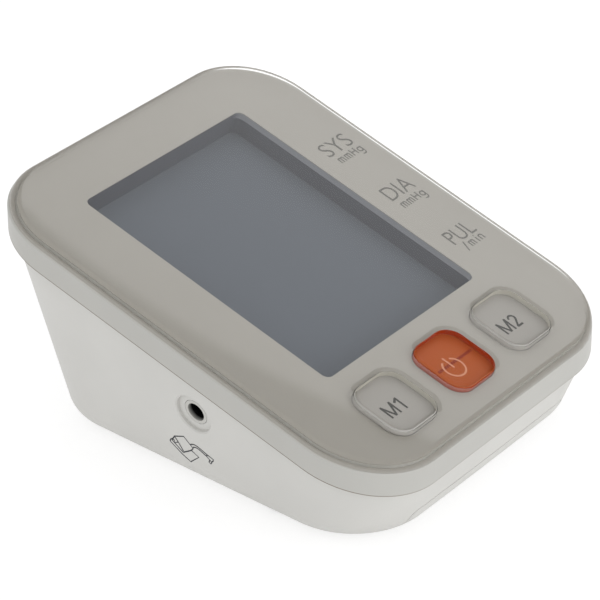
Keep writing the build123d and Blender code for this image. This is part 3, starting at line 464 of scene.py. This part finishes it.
def raised(form, face, rise):
    """Draws a face out into a wall and returns the face at its end."""
    alone = all(edge.is_boundary for edge in face.edges)
    geometry = [face] if alone else [face, *face.edges, *face.verts]
    made = bmesh.ops.extrude_face_region(form, geom=geometry)["geom"]
    corners = [item for item in made if isinstance(item, bmesh.types.BMVert)]
    bmesh.ops.translate(form, verts=corners, vec=(0, 0, rise))
    return [item for item in made if isinstance(item, bmesh.types.BMFace)][0]


def inset(form, face, width, rise=0.0):
    """Draws a ring round the inside of a face. The face stays, smaller, and may sink or rise."""
    bmesh.ops.inset_region(form, faces=[face], thickness=width, use_boundary=True, use_even_offset=True)
    if rise:
        bmesh.ops.translate(form, verts=list(face.verts), vec=(0, 0, rise))
    return face


def round_off(form, face, radius, steps):
    """Rounds the edges of a level face and returns the face that is left."""
    place = face.calc_center_bounds()
    bmesh.ops.bevel(
        form, geom=list(face.edges), offset=radius, segments=steps, profile=0.5,
        affect="EDGES", material=-1,
    )
    form.normal_update()
    return face_at(form, *place)


def open_edges(form, height):
    """Edges with one face, at one height."""
    return [
        edge for edge in form.edges
        if edge.is_boundary and all(abs(v.co.z - height) < 0.001 for v in edge.verts)
    ]


def make_piece(form, name, body, materials, place=front, stands_for=()):
    """Turns a form into a finished piece that rides on a body."""
    bmesh.ops.remove_doubles(form, verts=form.verts, dist=0.0005)
    bmesh.ops.recalc_face_normals(form, faces=form.faces)
    bmesh.ops.transform(form, matrix=place @ Matrix.Scale(MM, 4), verts=form.verts)
    for face in form.faces:
        face.smooth = True
    for edge in form.edges:
        edge.smooth = edge.calc_face_angle(0) < SHARP_ANGLE
    mesh = bpy.data.meshes.new(name)
    form.to_mesh(mesh)
    form.free()
    for material in materials:
        mesh.materials.append(material)
    piece = bpy.data.objects.new(name, mesh)
    bpy.context.scene.collection.objects.link(piece)
    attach(piece, body)
    if stands_for:
        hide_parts(*stands_for)
    return piece


def solid_of(curve):
    """Form of a curve or a text, which is used up."""
    holder = bpy.data.objects.new("curve", curve)
    bpy.context.scene.collection.objects.link(holder)
    graph = bpy.context.evaluated_depsgraph_get()
    mesh = bpy.data.meshes.new_from_object(holder.evaluated_get(graph))
    form = bmesh.new()
    form.from_mesh(mesh)
    bpy.data.objects.remove(holder)
    bpy.data.curves.remove(curve)
    bpy.data.meshes.remove(mesh)
    return form


def text_form(text, low, high, height, weight):
    """Lettering as thin solids that fill a box in plan."""
    curve = bpy.data.curves.new(text, "FONT")
    curve.body = text
    curve.offset = weight
    curve.extrude = 0.5
    curve.resolution_u = 6
    form = solid_of(curve)
    bmesh.ops.remove_doubles(form, verts=form.verts, dist=0.0001)
    least = Vector([min(v.co[i] for v in form.verts) for i in range(3)])
    most = Vector([max(v.co[i] for v in form.verts) for i in range(3)])
    size = Vector((high[0] - low[0], high[1] - low[1], INK))
    scale = Matrix.Diagonal((*[size[i] / (most[i] - least[i]) for i in range(3)], 1))
    move = Matrix.Translation((low[0], low[1], height)) @ scale @ Matrix.Translation(-least)
    bmesh.ops.transform(form, matrix=move, verts=form.verts)
    return form


def stroke_form(points, width, height, thickness=INK):
    """Line of even width as a thin solid: a round bar along the points, pressed flat."""
    curve = bpy.data.curves.new("stroke", "CURVE")
    curve.dimensions = "3D"
    curve.bevel_depth = width / 2
    curve.bevel_resolution = 2
    curve.use_fill_caps = True
    spline = curve.splines.new("POLY")
    spline.points.add(len(points) - 1)
    for point, place in zip(spline.points, points):
        point.co = (place[0], place[1], 0, 1)
    form = solid_of(curve)
    flat = Matrix.Translation((0, 0, height)) @ Matrix.Diagonal((1, 1, thickness / width, 1))
    bmesh.ops.transform(form, matrix=flat, verts=form.verts)
    return form


def merged(forms):
    """Several forms in one."""
    whole = bmesh.new()
    for form in forms:
        mesh = bpy.data.meshes.new("part")
        form.to_mesh(mesh)
        form.free()
        whole.from_mesh(mesh)
        bpy.data.meshes.remove(mesh)
    return whole


def arc(x, y, radius, start, end, steps):
    """Points of an arc, with its angles in degrees from +X."""
    turns = [math.radians(start + (end - start) * i / steps) for i in range(steps + 1)]
    return [(x + radius * math.cos(turn), y + radius * math.sin(turn)) for turn in turns]


# Pieces

KEYS = ("m1", "power", "m2")
SLOT_NODES = {
    "shell": ("lower_shell", "battery_door"),
    "cover": ("top_cover",),
    "film": ("panel_film",),
    "window_frame": ("display_frame",),
    "display_glass": ("lcd_glass",),
    "foil": ("lcd_reflector",),
    "strip": ("lcd_connector",),
    "foam": ("lcd_foam_strips", "pump_diaphragm", "pump_sleeve"),
    "board": ("main_board", "key_board"),
    "steel": (
        "board_screws", "key_board_screws", "case_screws", "pump_shaft", "valve_frame", "valve_plunger",
        "speaker_frame",
    ),
    "chip": ("microcontroller", "speech_chip"),
    "can": ("board_capacitors", "pump_motor_can", "speaker_magnet"),
    "ribbon": ("flat_cable",),
    "switch": ("switch_housings", "m1_switch_plunger", "power_switch_plunger", "m2_switch_plunger"),
    "cell": ("aa_cells",),
    "contact": ("contact_plates", "contact_springs"),
    "foot": ("rubber_feet",),
    "socket": ("air_socket",),
    "white_part": ("air_manifold", "pressure_sensor", "pump_crank"),
    "hose": ("socket_hose", "pump_hose", "valve_hose", "sensor_hose"),
    "copper": ("pump_rotor", "valve_coil"),
    "black_part": ("pump_housing", "pump_cover", "valve_cap", "dc_jack"),
    "paper": ("speaker_cone",),
    "key_print": ("key_m1_base", "key_m2_base"),
    "key_orange_print": ("key_power_base",),
}


class MONITOR_OT_finishes(bpy.types.Operator):
    """Gives the CAD nodes their finishes"""

    bl_idname = "monitor.finishes"
    bl_label = "Finishes"

    def execute(self, context):
        tones = context.scene.monitor_finish
        metal = {"metallic": 1.0, "vary": 0.04}
        fine_print = {"grain": 0.03, "grain_scale": 3000}
        finishes = {
            "shell": moulded("shell", tones.shell, 0.45, grain=0.12),
            "cover": self.cover(tones),
            "film": film_print("film", tones.film),
            "window_frame": self.window_wall(tones),
            "display_glass": self.display(tones),
            "key_print": moulded("key_print", tones.key, 0.5, vary=0.01, **fine_print),
            "key_orange_print": moulded("key_orange_print", tones.orange, 0.5, **fine_print),
            "socket": self.socket(),
            "foot": moulded("foot", colour("56575A"), 0.8, grain=0.5, grain_scale=1500, vary=0.06),
            "foil": moulded("foil", colour("D2D3D4"), 0.35, grain=0.3, grain_scale=1200, metallic=1.0),
            "strip": self.striped("strip", colour("D8CFBF"), colour("3A3834"), 4000),
            "foam": moulded("foam", colour("3A3A3B"), 0.9, grain=0.9, grain_scale=1500, vary=0.15),
            "board": self.board(),
            "steel": moulded(
                "steel", colour("BDBEBE"), 0.3, grain=0.15, grain_scale=2000, vary=0.05, metallic=1.0,
            ),
            "chip": moulded("chip", colour("232426"), 0.55, grain=0.3, vary=0.05),
            "can": moulded("can", colour("CFD0D2"), 0.28, grain_scale=1500, **metal),
            "ribbon": self.striped("ribbon", colour("E6E2D2"), colour("B9B29B"), 1000),
            "switch": moulded("switch", colour("2B2B2D"), 0.5, grain=0.15),
            "cell": self.cell(),
            "contact": moulded("contact", colour("DAD8D2"), 0.22, grain_scale=2000, **metal),
            "white_part": moulded("white_part", colour("E4E3DE"), 0.4),
            "hose": moulded("hose", colour("DEDDD6"), 0.35, grain=0.15, grain_scale=1500, vary=0.03),
            "copper": self.striped("copper", colour("C8783C"), colour("7A3F1B"), 1500, metallic=0.8),
            "black_part": moulded(
                "black_part", colour("222326"), 0.5, grain=0.2, grain_scale=2000, vary=0.05,
            ),
            "paper": self.striped("paper", colour("35312C"), colour("26231F"), 700),
        }
        for slot, nodes in SLOT_NODES.items():
            for node in nodes:
                paint(node, finishes[slot])
        return {"FINISHED"}

    def cover(self, tones):
        """Plastic of the cover, with painted shade in the parting line along its lower edge."""
        material = moulded("cover", tones.cover, 0.38, grain=0.08)
        # Painted shade in a thin strip along the cover's lower edge
        shade_start, shade_end = -6.2, -6.26
        tint(material, height_band(material.node_tree, shade_start, shade_end), tones.seam)
        return material

    def display(self, tones):
        """Dull face of the unlit display."""
        material = moulded("display_glass", tones.display, 0.45, grain=0.0, grain_scale=4000, vary=0.01)
        material.node_tree.nodes["Principled BSDF"].inputs["Specular IOR Level"].default_value = 0.0
        return material

    def striped(self, name, first, second, scale, metallic=0.0):
        """Two tones in fine bands along X, with a little wander."""
        material, tree = new_material(name)
        place = add(tree, "ShaderNodeTexCoord")
        values = {"Scale": scale, "Distortion": 0.2, "Detail": 1.0}
        bands = add(tree, "ShaderNodeTexWave", values, bands_direction="X")
        join(tree, place.outputs["Object"], bands.inputs["Vector"])
        ends = {FIRST_TONE: shade(first), SECOND_TONE: shade(second)}
        tone = add(tree, "ShaderNodeMix", ends, data_type="RGBA")
        join(tree, bands.outputs["Fac"], tone.inputs["Factor"])
        surface = add(tree, "ShaderNodeBsdfPrincipled", {"Metallic": metallic})
        join(tree, tone.outputs[MIXED_TONE], surface.inputs["Base Color"])
        roughen(tree, surface, noise(tree, scale=2500), low=0.48, high=0.52)
        relief(tree, surface, bands.outputs["Fac"], strength=0.05)
        finish_with(tree, surface.outputs["BSDF"])
        return material

    def socket(self):
        """Pale plastic with painted shade in the bore, which grows darker from the bore's mouth inwards."""
        material = moulded("socket", colour("C9C8C3"), 0.45, grain=0.08)
        bore = named(frame["record"]["mounts"], "hose_socket")
        outwards = Vector(bore["axis"])
        mouth = outwards.dot(Vector(bore["pos_m"])) + bore["dims"]["length_mm"] / 2 * MM
        # Painted shade: the bore darkens to near black over a short depth behind its mouth
        fade = 1.2
        bore_shade = band(material.node_tree, outwards, mouth, mouth - fade * MM)
        tint(material, bore_shade, colour("050505"))
        return material

    def board(self):
        """Green board with paler tracks under its lacquer."""
        material, tree = new_material("board")
        place = add(tree, "ShaderNodeTexCoord")
        tracks = add(tree, "ShaderNodeTexVoronoi", {"Scale": 450.0}, distance="CHEBYCHEV", feature="F2")
        join(tree, place.outputs["Object"], tracks.inputs["Vector"])
        ramp = add(tree, "ShaderNodeValToRGB")
        for end, position, tone in zip(ramp.color_ramp.elements, (0.45, 0.55), ("1B5A34", "2F7A4A")):
            end.position = position
            end.color = shade(colour(tone))
        join(tree, tracks.outputs["Distance"], ramp.inputs["Fac"])
        surface = add(tree, "ShaderNodeBsdfPrincipled")
        join(tree, ramp.outputs["Color"], surface.inputs["Base Color"])
        roughen(tree, surface, noise(tree, scale=1500), low=0.25, high=0.4)
        relief(tree, surface, tracks.outputs["Distance"], strength=0.2)
        finish_with(tree, surface.outputs["BSDF"])
        return material

    def cell(self):
        """Printed sleeve of a cell: dark with a coppery end."""
        material = moulded("cell", colour("2A2D36"), 0.25, grain=0.05, grain_scale=1500, vary=0.05)
        copper_length, fade = 9.0, 0.1
        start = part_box("aa_cells")[1].x - copper_length * MM
        end = band(material.node_tree, Vector((1.0, 0.0, 0.0)), start, start + fade * MM)
        tint(material, end, colour("B87333"))
        return material

    def window_wall(self, tones):
        """Finish of the window's wall, with a painted highlight: a lighter upper strip on the side that faces the
        left.
        """
        material = moulded("window_frame", tones.window, 0.5, grain_scale=3000)
        tree = material.node_tree
        # Painted highlight on the upper strip of the wall whose face turns to the left
        highlight_start, highlight_end = -1.9, -1.7
        face = add(tree, "ShaderNodeNewGeometry")
        side = add(tree, "ShaderNodeVectorMath", {1: (-1.0, 0.0, 0.0)}, operation="DOT_PRODUCT")
        join(tree, face.outputs["Normal"], side.inputs[0])
        share = add(tree, "ShaderNodeMath", operation="MULTIPLY", use_clamp=True)
        join(tree, height_band(tree, highlight_start, highlight_end), share.inputs[0])
        join(tree, side.outputs["Value"], share.inputs[1])
        tint(material, share.outputs[0], tones.window_wall_highlight)
        return material


class MONITOR_OT_plate(bpy.types.Operator):
    """Makes the clear plate, with its quarter-round edge and the dishes round the keys"""

    bl_idname = "monitor.plate"
    bl_label = "Clear plate"

    def execute(self, context):
        sizes = context.scene.monitor_plate
        keys = context.scene.monitor_keys
        low, high = in_front("front_lens")
        near_corner = sizes.near_corner / MM
        away_corner = sizes.away_corner / MM
        form = bmesh.new()
        foot_height = low.z + sizes.foot_gap / MM
        foot = rounded_face(form, low, high, near_corner, away_corner, foot_height)
        foot_place = foot.calc_center_bounds()
        top = raised(form, foot, high.z - foot_height)
        form.normal_update()
        top = round_off(form, top, sizes.edge_round / MM, sizes.edge_steps)
        inset(form, top, LEVEL_RING)
        foot = face_at(form, *foot_place)
        inset(form, foot, sizes.rim / MM)
        ceiling = sizes.film_gap / MM
        pocket = raised(form, foot, ceiling - foot_height)
        bmesh.ops.delete(form, geom=[top, pocket], context="FACES_ONLY")
        for key in KEYS:
            self.open_key(form, sizes, keys, in_front(f"key_{key}_cap"), high.z, ceiling)
        for height in (high.z, ceiling):
            edges = open_edges(form, height)
            bmesh.ops.triangle_fill(form, use_beauty=True, edges=edges, normal=(0, 0, 1))
        self.choose_finishes(form, foot_height, high.z)
        finishes = [
            clear("lens", (0.985, 0.985, 0.98)),
            bending("lens_edge", (0.95, 0.945, 0.935)),
            film_print("foot_print", context.scene.monitor_finish.film),
        ]
        make_piece(form, "clear_plate", "case", finishes, stands_for=["front_lens"])
        return {"FINISHED"}

    def choose_finishes(self, form, foot_height, top_height):
        """The outer edge bends what is behind it. The foot and the clear keys' openings are printed."""
        form.normal_update()
        keys_low = in_front("key_m1_cap")[0]
        keys_high = in_front("key_m2_cap")[1]
        margin = 4.0
        orange_reach = in_front("key_power_cap")[1].x + 2.0
        wall_height = 0.2
        near = 0.01
        most_upright, least_level = 0.3, 0.999
        clear_skin, bending_skin, print_skin = range(3)
        for face in form.faces:
            place = face.calc_center_median()
            beside_keys = abs(place.x) < keys_high.x + margin
            by_keys = beside_keys and keys_low.y - margin < place.y < keys_high.y + margin
            slope = abs(face.normal.z)
            opening_wall = by_keys and slope < most_upright and abs(place.x) > orange_reach
            rising = place.z < top_height - near and slope < least_level
            face.material_index = clear_skin
            if abs(place.z - foot_height) < near or opening_wall:
                face.material_index = print_skin
            elif rising and not by_keys and place.z > 0 or place.z < foot_height + wall_height:
                face.material_index = bending_skin

    def open_key(self, form, sizes, keys, box, top_height, ceiling):
        """Dish, rounded mouth and wall of one key's opening."""
        low, high = box
        level_rim = 0.2
        dish_steps = 8
        mouth_steps = 5
        dish = sizes.dish / MM
        reach = keys.gap / MM + dish
        corner = keys.corner / MM + reach
        grown = Vector((reach, reach, 0))
        face = rounded_face(form, low - grown, high + grown, corner, corner, top_height)
        inset(form, face, level_rim)
        mouth = sizes.mouth_round / MM
        depth = sizes.dish_depth / MM
        width = (dish - level_rim - mouth) / dish_steps
        last = 0.0
        for i in range(1, dish_steps + 1):
            sunk = depth * (1 - math.cos(math.pi / 2 * i / dish_steps))
            inset(form, face, width, last - sunk)
            last = sunk
        for i in range(1, mouth_steps + 1):
            angle = math.pi / 2 * i / mouth_steps
            before = math.pi / 2 * (i - 1) / mouth_steps
            width = mouth * (math.sin(angle) - math.sin(before))
            inset(form, face, width, -mouth * (math.cos(before) - math.cos(angle)))
        floor = raised(form, face, ceiling - (top_height - depth - mouth))
        bmesh.ops.delete(form, geom=[floor], context="FACES_ONLY")


class MONITOR_OT_keys(bpy.types.Operator):
    """Makes the three key caps"""

    bl_idname = "monitor.keys"
    bl_label = "Keys"

    def execute(self, context):
        tones = context.scene.monitor_finish
        sizes = context.scene.monitor_keys
        # The third skin of each cap paints a highlight on its rounded edge
        clear_skins = [
            clear("key_clear", (0.97, 0.97, 0.965), ior=1.35),
            two_sided("key_wall", tones.key_outside_and_highlight, tones.key_wall),
            painted_edge_highlight("key_outside_and_highlight", tones.key_outside_and_highlight, 0.5),
        ]
        orange_skins = [
            clear("key_orange", (0.985, 0.95, 0.90), ior=1.15),
            two_sided("key_orange_wall", tones.orange_edge, tones.orange_wall, gloss=0.15),
            painted_edge_highlight("key_orange_highlight", tones.orange_highlight, 0.35),
        ]
        for key in KEYS:
            low, high = in_front(f"key_{key}_cap")
            orange = key == "power"
            skins = orange_skins if orange else clear_skins
            form = self.cap(sizes, low, high)
            make_piece(form, f"{key}_cap", f"key_{key}", skins, stands_for=[f"key_{key}_cap"])
        return {"FINISHED"}

    def cap(self, sizes, low, high):
        """One cap: a clear top over side walls."""
        corner = sizes.corner / MM
        form = bmesh.new()
        floor_lift = 0.03
        face = rounded_face(form, low, high, corner, corner, low.z + floor_lift)
        top = raised(form, face, high.z - low.z - floor_lift)
        form.normal_update()
        top = round_off(form, top, sizes.edge_round / MM, sizes.edge_steps)
        inset(form, top, LEVEL_RING)
        wall_skin, highlight_skin = 1, 2
        edge_start = 0.4
        # Faces of the rounded edge take the painted highlight
        for face in form.faces:
            if abs(face.normal.z) <= edge_start:
                face.material_index = wall_skin
            elif edge_start < face.normal.z < LEVEL:
                face.material_index = highlight_skin
        return form


# Heights of the letters on the keys and of the small letters in the units
KEY_LETTER = 4.0
SMALL_LETTER = 1.7


class MONITOR_OT_marks(bpy.types.Operator):
    """Makes the printed marks of the front and the keys"""

    bl_idname = "monitor.marks"
    bl_label = "Printed marks"

    def execute(self, context):
        tones = context.scene.monitor_finish
        gap = 0.005
        base_top = in_front("key_m1_base")[1].z + gap
        self.front_marks(tones)
        self.key_marks(tones, base_top)
        self.power_marks(tones, base_top)
        return {"FINISHED"}

    def ink(self, name, rgb, roughness=0.6):
        """Finish of a printed mark."""
        return moulded(name, rgb, roughness, grain=0.02, grain_scale=3000)

    def front_marks(self, tones):
        """Words and units beside the window. Each word has its lower left and upper right corner."""
        height = 0.01
        words = (
            ("SYS", (34.7, 11.8), (44.9, 16.4)),
            ("DIA", (34.9, -7.6), (44.8, -3.0)),
            ("PUL", (34.9, -26.9), (44.4, -22.4)),
        )
        forms = [text_form(text, low, high, height, weight=-0.006) for text, low, high in words]
        lines = self.minute_unit(36.4, -29.7)
        for x, y in ((35.9, 8.7), (35.7, -11.0)):
            lines += self.pressure_unit(x, y)
        unit_width = 0.4
        forms += [stroke_form(line, unit_width, height) for line in lines]
        film_ink = self.ink("film_ink", tones.film_mark)
        make_piece(merged(forms), "front_marks", "case", [film_ink])

    def key_marks(self, tones, base_top):
        """M1 and M2 on the prints of the clear keys."""
        key_ink = self.ink("key_ink", tones.key_mark)
        baseline = -53.8
        letter_pitch = 4.5
        width = 0.58
        height = base_top + 0.01
        for key, left, digit in (("m1", -27.1, self.one), ("m2", 19.5, self.two)):
            lines = self.letter_m(left, baseline) + digit(left + letter_pitch, baseline)
            form = merged([stroke_form(line, width, height) for line in lines])
            make_piece(form, f"{key}_mark", f"key_{key}", [key_ink])

    def power_marks(self, tones, base_top):
        """Power symbol on the orange key, over a darker bar: a thin raised rib whose dark tone is painted shade.
        """
        x, y = -0.9, -52.4
        radius, width = 2.85, 0.5
        height = base_top + 0.015
        ring = stroke_form(arc(x, y, radius, 118, 422, 40), width, height)
        bar = stroke_form([(x, y - 0.1), (x, y + 3.6)], width, height)
        symbol_ink = self.ink("symbol_ink", tones.symbol)
        make_piece(merged([ring, bar]), "power_symbol", "key_power", [symbol_ink])
        # Thin bar for the raised rib, darkened with painted shade
        rib_left, rib_right, rib_y, rib_width = -5.7, 7.5, -51.3, 0.8
        rib = stroke_form([(rib_left, rib_y), (rib_right, rib_y)], rib_width, base_top, 0.025)
        rib_shade = self.ink("rib_shade", tones.orange_rib_shade, 0.5)
        make_piece(rib, "power_rib", "key_power", [rib_shade])

    def small_m(self, x, y):
        """Lines of an m."""
        humps = [
            [(left, y + 1.15)] + arc(left + 0.43, y + 1.25, 0.42, 160, 0, 8) + [(left + 0.85, y)]
            for left in (x, x + 0.85)
        ]
        return [[(x, y), (x, y + SMALL_LETTER)], *humps]

    def pressure_unit(self, x, y):
        """Lines of the letters mmHg."""
        tall = 2.35
        h_left, h_right = x + 5.15, x + 6.65
        g_middle, g_right, g_radius = x + 8.2, x + 8.92, 0.72
        bowl = arc(g_middle, y + 0.85, g_radius, 0, 360, 16)
        tail = [(g_right, y + 1.65), (g_right, y - 0.2)] + arc(g_middle, y - 0.2, g_radius, 0, -140, 8)
        return [
            *self.small_m(x, y), *self.small_m(x + 2.55, y),
            [(h_left, y), (h_left, y + tall)], [(h_right, y), (h_right, y + tall)],
            [(h_left, y + 1.2), (h_right, y + 1.2)], bowl, tail,
        ]

    def minute_unit(self, x, y):
        """Lines of the letters /min."""
        i_middle, n_left, n_right = x + 5.2, x + 6.3, x + 7.4
        hump = [(n_left, y + 1.15)] + arc(x + 6.85, y + 1.15, 0.55, 160, 0, 8) + [(n_right, y)]
        return [
            [(x, y - 0.5), (x + 1.1, y + 2.5)], *self.small_m(x + 2.2, y),
            [(i_middle, y), (i_middle, y + SMALL_LETTER)], [(i_middle, y + 2.15), (i_middle, y + 2.45)],
            [(n_left, y), (n_left, y + SMALL_LETTER)], hump,
        ]

    def letter_m(self, x, y):
        """Lines of an M."""
        top = y + KEY_LETTER
        left, centre, right = x + 0.25, x + 1.85, x + 3.45
        return [
            [(left, y), (left, top)], [(right, y), (right, top)],
            [(left, top), (centre, y + 0.1)], [(centre, y + 0.1), (right, top)],
        ]

    def one(self, x, y):
        """Lines of a 1."""
        top = y + KEY_LETTER
        return [[(x + 1.3, y), (x + 1.3, top)], [(x, y + 2.9), (x + 1.3, top - 0.2)]]

    def two(self, x, y):
        """Lines of a 2."""
        bowl = arc(x + 1.0, y + 2.85, 0.95, 170, -40, 14)
        return [bowl + [(x + 0.1, y + 0.25)], [(x, y + 0.27), (x + 2.1, y + 0.27)]]


class MONITOR_OT_side_mark(bpy.types.Operator):
    """Makes the line drawing of a cuff and its hose, on the wall below the hose socket"""

    bl_idname = "monitor.side_mark"
    bl_label = "Side mark"

    def execute(self, context):
        cuff = (
            [(4.8, 11.6), (4.2, 12.5), (1.1, 13.8), (-1.3, 11.3), (-0.6, 10.4), (2.3, 8.5)],
            [(4.8, 11.6), (5.8, 10.8), (6.0, 10.2), (2.7, 7.8), (0.3, 6.6), (-2.7, 9.3), (-0.6, 10.4)],
            [(5.3, 10.9), (2.3, 8.5)],
            [(4.2, 12.4), (3.3, 11.1), (2.1, 8.9)],
            [(5.2, 11.1), (4.4, 11.2), (4.6, 10.4), (3.3, 11.1)],
        )
        hose = (
            [(-0.6, 12.1), (-1.2, 12.5), (-2.0, 12.7), (-2.8, 12.6), (-3.6, 12.3), (-5.6, 11.4)],
            [(-1.3, 11.6), (-1.8, 11.9), (-2.4, 12.0), (-3.1, 11.9), (-3.8, 11.6), (-5.4, 10.8)],
            [(-5.6, 11.4), (-7.4, 10.8), (-7.3, 10.3), (-6.7, 9.7), (-5.4, 10.8), (-5.6, 11.4)],
            [(-6.2, 10.0), (-5.8, 9.3), (-6.3, 9.0), (-6.8, 9.7)],
        )
        width, height, thickness = 0.34, 0.02, 0.04
        form = merged([stroke_form(line, width, height, thickness) for line in cuff + hose])
        self.lay_on_wall(form)
        ink = moulded("side_ink", context.scene.monitor_finish.ink, 0.6, grain=0.03, grain_scale=3000)
        make_piece(form, "side_mark", "case", [ink], place=Matrix.Identity(4))
        return {"FINISHED"}

    def lay_on_wall(self, form):
        """Moves a flat form, drawn in Y and height, onto the left wall from outside."""
        shell = frame["nodes"]["lower_shell"].data
        places = [v.co / MM for v in shell.vertices]
        wall = BVHTree.FromPolygons(places, [list(p.vertices) for p in shell.polygons])
        outside = -80.0
        inwards = Vector((1, 0, 0))
        for corner in form.verts:
            y, z, out = corner.co
            hit = wall.ray_cast(Vector((outside, y, z)), inwards)[0]
            corner.co = (hit.x - out, y, z)


class MONITOR_OT_stage(bpy.types.Operator):
    """Makes the camera, the floor and the surroundings"""

    bl_idname = "monitor.stage"
    bl_label = "Stage"

    def execute(self, context):
        settings = context.scene.monitor_stage
        self.camera(context, settings)
        self.lamp(context, settings)
        self.floor(context)
        self.sky(context, settings)
        return {"FINISHED"}

    def camera(self, context, settings):
        """Camera at the photograph's place."""
        camera = bpy.data.cameras.new("camera")
        camera.lens = settings.lens
        camera.sensor_width = 36
        camera.clip_start = 0.01
        camera.clip_end = 20
        holder = bpy.data.objects.new("camera", camera)
        holder.location = settings.camera_place
        holder.rotation_euler = (math.pi / 2 - settings.elevation, 0, settings.azimuth)
        context.scene.collection.objects.link(holder)
        context.scene.camera = holder

    def lamp(self, context, settings):
        """Wide soft lamp low before the object."""
        lamp = bpy.data.lights.new("lamp", "AREA")
        lamp.shape = "DISK"
        lamp.size = 0.9
        lamp.energy = settings.lamp_power
        holder = bpy.data.objects.new("lamp", lamp)
        holder.location = (0.25, -1.1, 0.3)
        towards = Vector((0, 0, 0.02)) - holder.location
        holder.rotation_euler = towards.to_track_quat("-Z", "Y").to_euler()
        context.scene.collection.objects.link(holder)

    def floor(self, context):
        """White floor that keeps the object's soft shadow and lets a camera below look up through it."""
        form = bmesh.new()
        bmesh.ops.create_grid(form, x_segments=4, y_segments=4, size=3)
        mesh = bpy.data.meshes.new("floor")
        form.to_mesh(mesh)
        form.free()
        floor = bpy.data.objects.new("floor", mesh)
        context.scene.collection.objects.link(floor)
        material, tree = new_material("floor")
        bounce = context.scene.monitor_stage.floor_level
        lighting = self.glowing(tree, grey=0.8, glow=bounce)
        shown = self.glowing(tree, grey=0.45, glow=0.68)
        path = add(tree, "ShaderNodeLightPath")
        seen = mixed(tree, path.outputs["Is Camera Ray"], lighting, shown)
        face = add(tree, "ShaderNodeNewGeometry")
        hole = add(tree, "ShaderNodeBsdfTransparent")
        finish_with(tree, mixed(tree, face.outputs["Backfacing"], seen, hole.outputs["BSDF"]))
        mesh.materials.append(material)

    def glowing(self, tree, grey, glow):
        """Matte grey that also glows."""
        matte = add(tree, "ShaderNodeBsdfDiffuse", {"Color": (grey, grey, grey, 1.0)})
        light = add(tree, "ShaderNodeEmission", {"Strength": glow})
        both = add(tree, "ShaderNodeAddShader")
        join(tree, matte.outputs["BSDF"], both.inputs[0])
        join(tree, light.outputs["Emission"], both.inputs[1])
        return both.outputs["Shader"]

    def sky(self, context, settings):
        """White surroundings. In a mirror image they hold a bright window within a dim ring."""
        world = bpy.data.worlds.new("surroundings")
        world.use_nodes = True
        context.scene.world = world
        tree = world.node_tree
        tree.nodes.clear()
        place = add(tree, "ShaderNodeTexCoord")
        bright_middle = Vector((0.85423, 0.22872, 0.46687)).normalized()
        towards = add(tree, "ShaderNodeVectorMath", {1: bright_middle}, operation="DOT_PRODUCT")
        join(tree, place.outputs["Generated"], towards.inputs[0])
        most = settings.mirror_level
        rest, dim, bright = settings.rest_level, settings.dark_level, settings.bright_level
        ring_outside, ring_start, ring_end, window_start, window_full = 0.80, 0.90, 0.9471, 0.9481, 0.97
        far = self.step(tree, towards, ring_outside, ring_start, rest, dim)
        edge = self.step(tree, towards, ring_end, window_start, 0.0, bright - dim)
        rise = self.step(tree, towards, window_start, window_full, 0.0, most - bright)
        near = add(tree, "ShaderNodeMath", operation="ADD")
        join(tree, edge, near.inputs[0])
        join(tree, rise, near.inputs[1])
        image = add(tree, "ShaderNodeMath", operation="ADD")
        join(tree, far, image.inputs[0])
        join(tree, near.outputs[0], image.inputs[1])
        path = add(tree, "ShaderNodeLightPath")
        lit = add(tree, "ShaderNodeMix", {"A": settings.sky_level}, data_type="FLOAT")
        join(tree, path.outputs["Is Glossy Ray"], lit.inputs["Factor"])
        join(tree, image.outputs[0], lit.inputs["B"])
        level = add(tree, "ShaderNodeMix", {"B": 1.0}, data_type="FLOAT")
        join(tree, path.outputs["Is Camera Ray"], level.inputs["Factor"])
        join(tree, lit.outputs["Result"], level.inputs["A"])
        sky = add(tree, "ShaderNodeBackground", {"Color": (1.0, 1.0, 1.0, 1.0)})
        join(tree, level.outputs["Result"], sky.inputs["Strength"])
        output = add(tree, "ShaderNodeOutputWorld")
        join(tree, sky.outputs[0], output.inputs["Surface"])

    def step(self, tree, towards, start, end, low, high):
        """Value that goes from one level to another between two angles, given by their cosines."""
        values = {"From Min": start, "From Max": end, "To Min": low, "To Max": high}
        node = add(tree, "ShaderNodeMapRange", values)
        join(tree, towards.outputs["Value"], node.inputs["Value"])
        return node.outputs["Result"]


class MONITOR_PT_panel(bpy.types.Panel):
    """Lists the pieces of the monitor"""

    bl_idname = "MONITOR_PT_panel"
    bl_label = "Monitor"
    bl_space_type = "VIEW_3D"
    bl_region_type = "UI"
    bl_category = "Monitor"

    def draw(self, context):
        for operator in OPERATORS:
            self.layout.operator(operator.bl_idname)


SETTINGS = {
    "monitor_finish": FinishSettings,
    "monitor_plate": PlateSettings,
    "monitor_keys": KeySettings,
    "monitor_stage": StageSettings,
}
OPERATORS = (
    MONITOR_OT_stage,
    MONITOR_OT_finishes,
    MONITOR_OT_plate,
    MONITOR_OT_keys,
    MONITOR_OT_marks,
    MONITOR_OT_side_mark,
)
CLASSES = (*SETTINGS.values(), *OPERATORS, MONITOR_PT_panel)


def register():
    """Adds the classes and their settings."""
    for made in CLASSES:
        bpy.utils.register_class(made)
    for name, group in SETTINGS.items():
        setattr(bpy.types.Scene, name, PointerProperty(type=group))


def unregister():
    """Takes the classes and their settings away."""
    for name in SETTINGS:
        delattr(bpy.types.Scene, name)
    for made in reversed(CLASSES):
        bpy.utils.unregister_class(made)


def main():
    """Makes every piece, in order."""
    register()
    bpy.context.scene.view_settings.view_transform = "Standard"
    for operator in OPERATORS:
        group, call = operator.bl_idname.split(".")
        getattr(getattr(bpy.ops, group), call)()


if __name__ == "__main__":
    main()
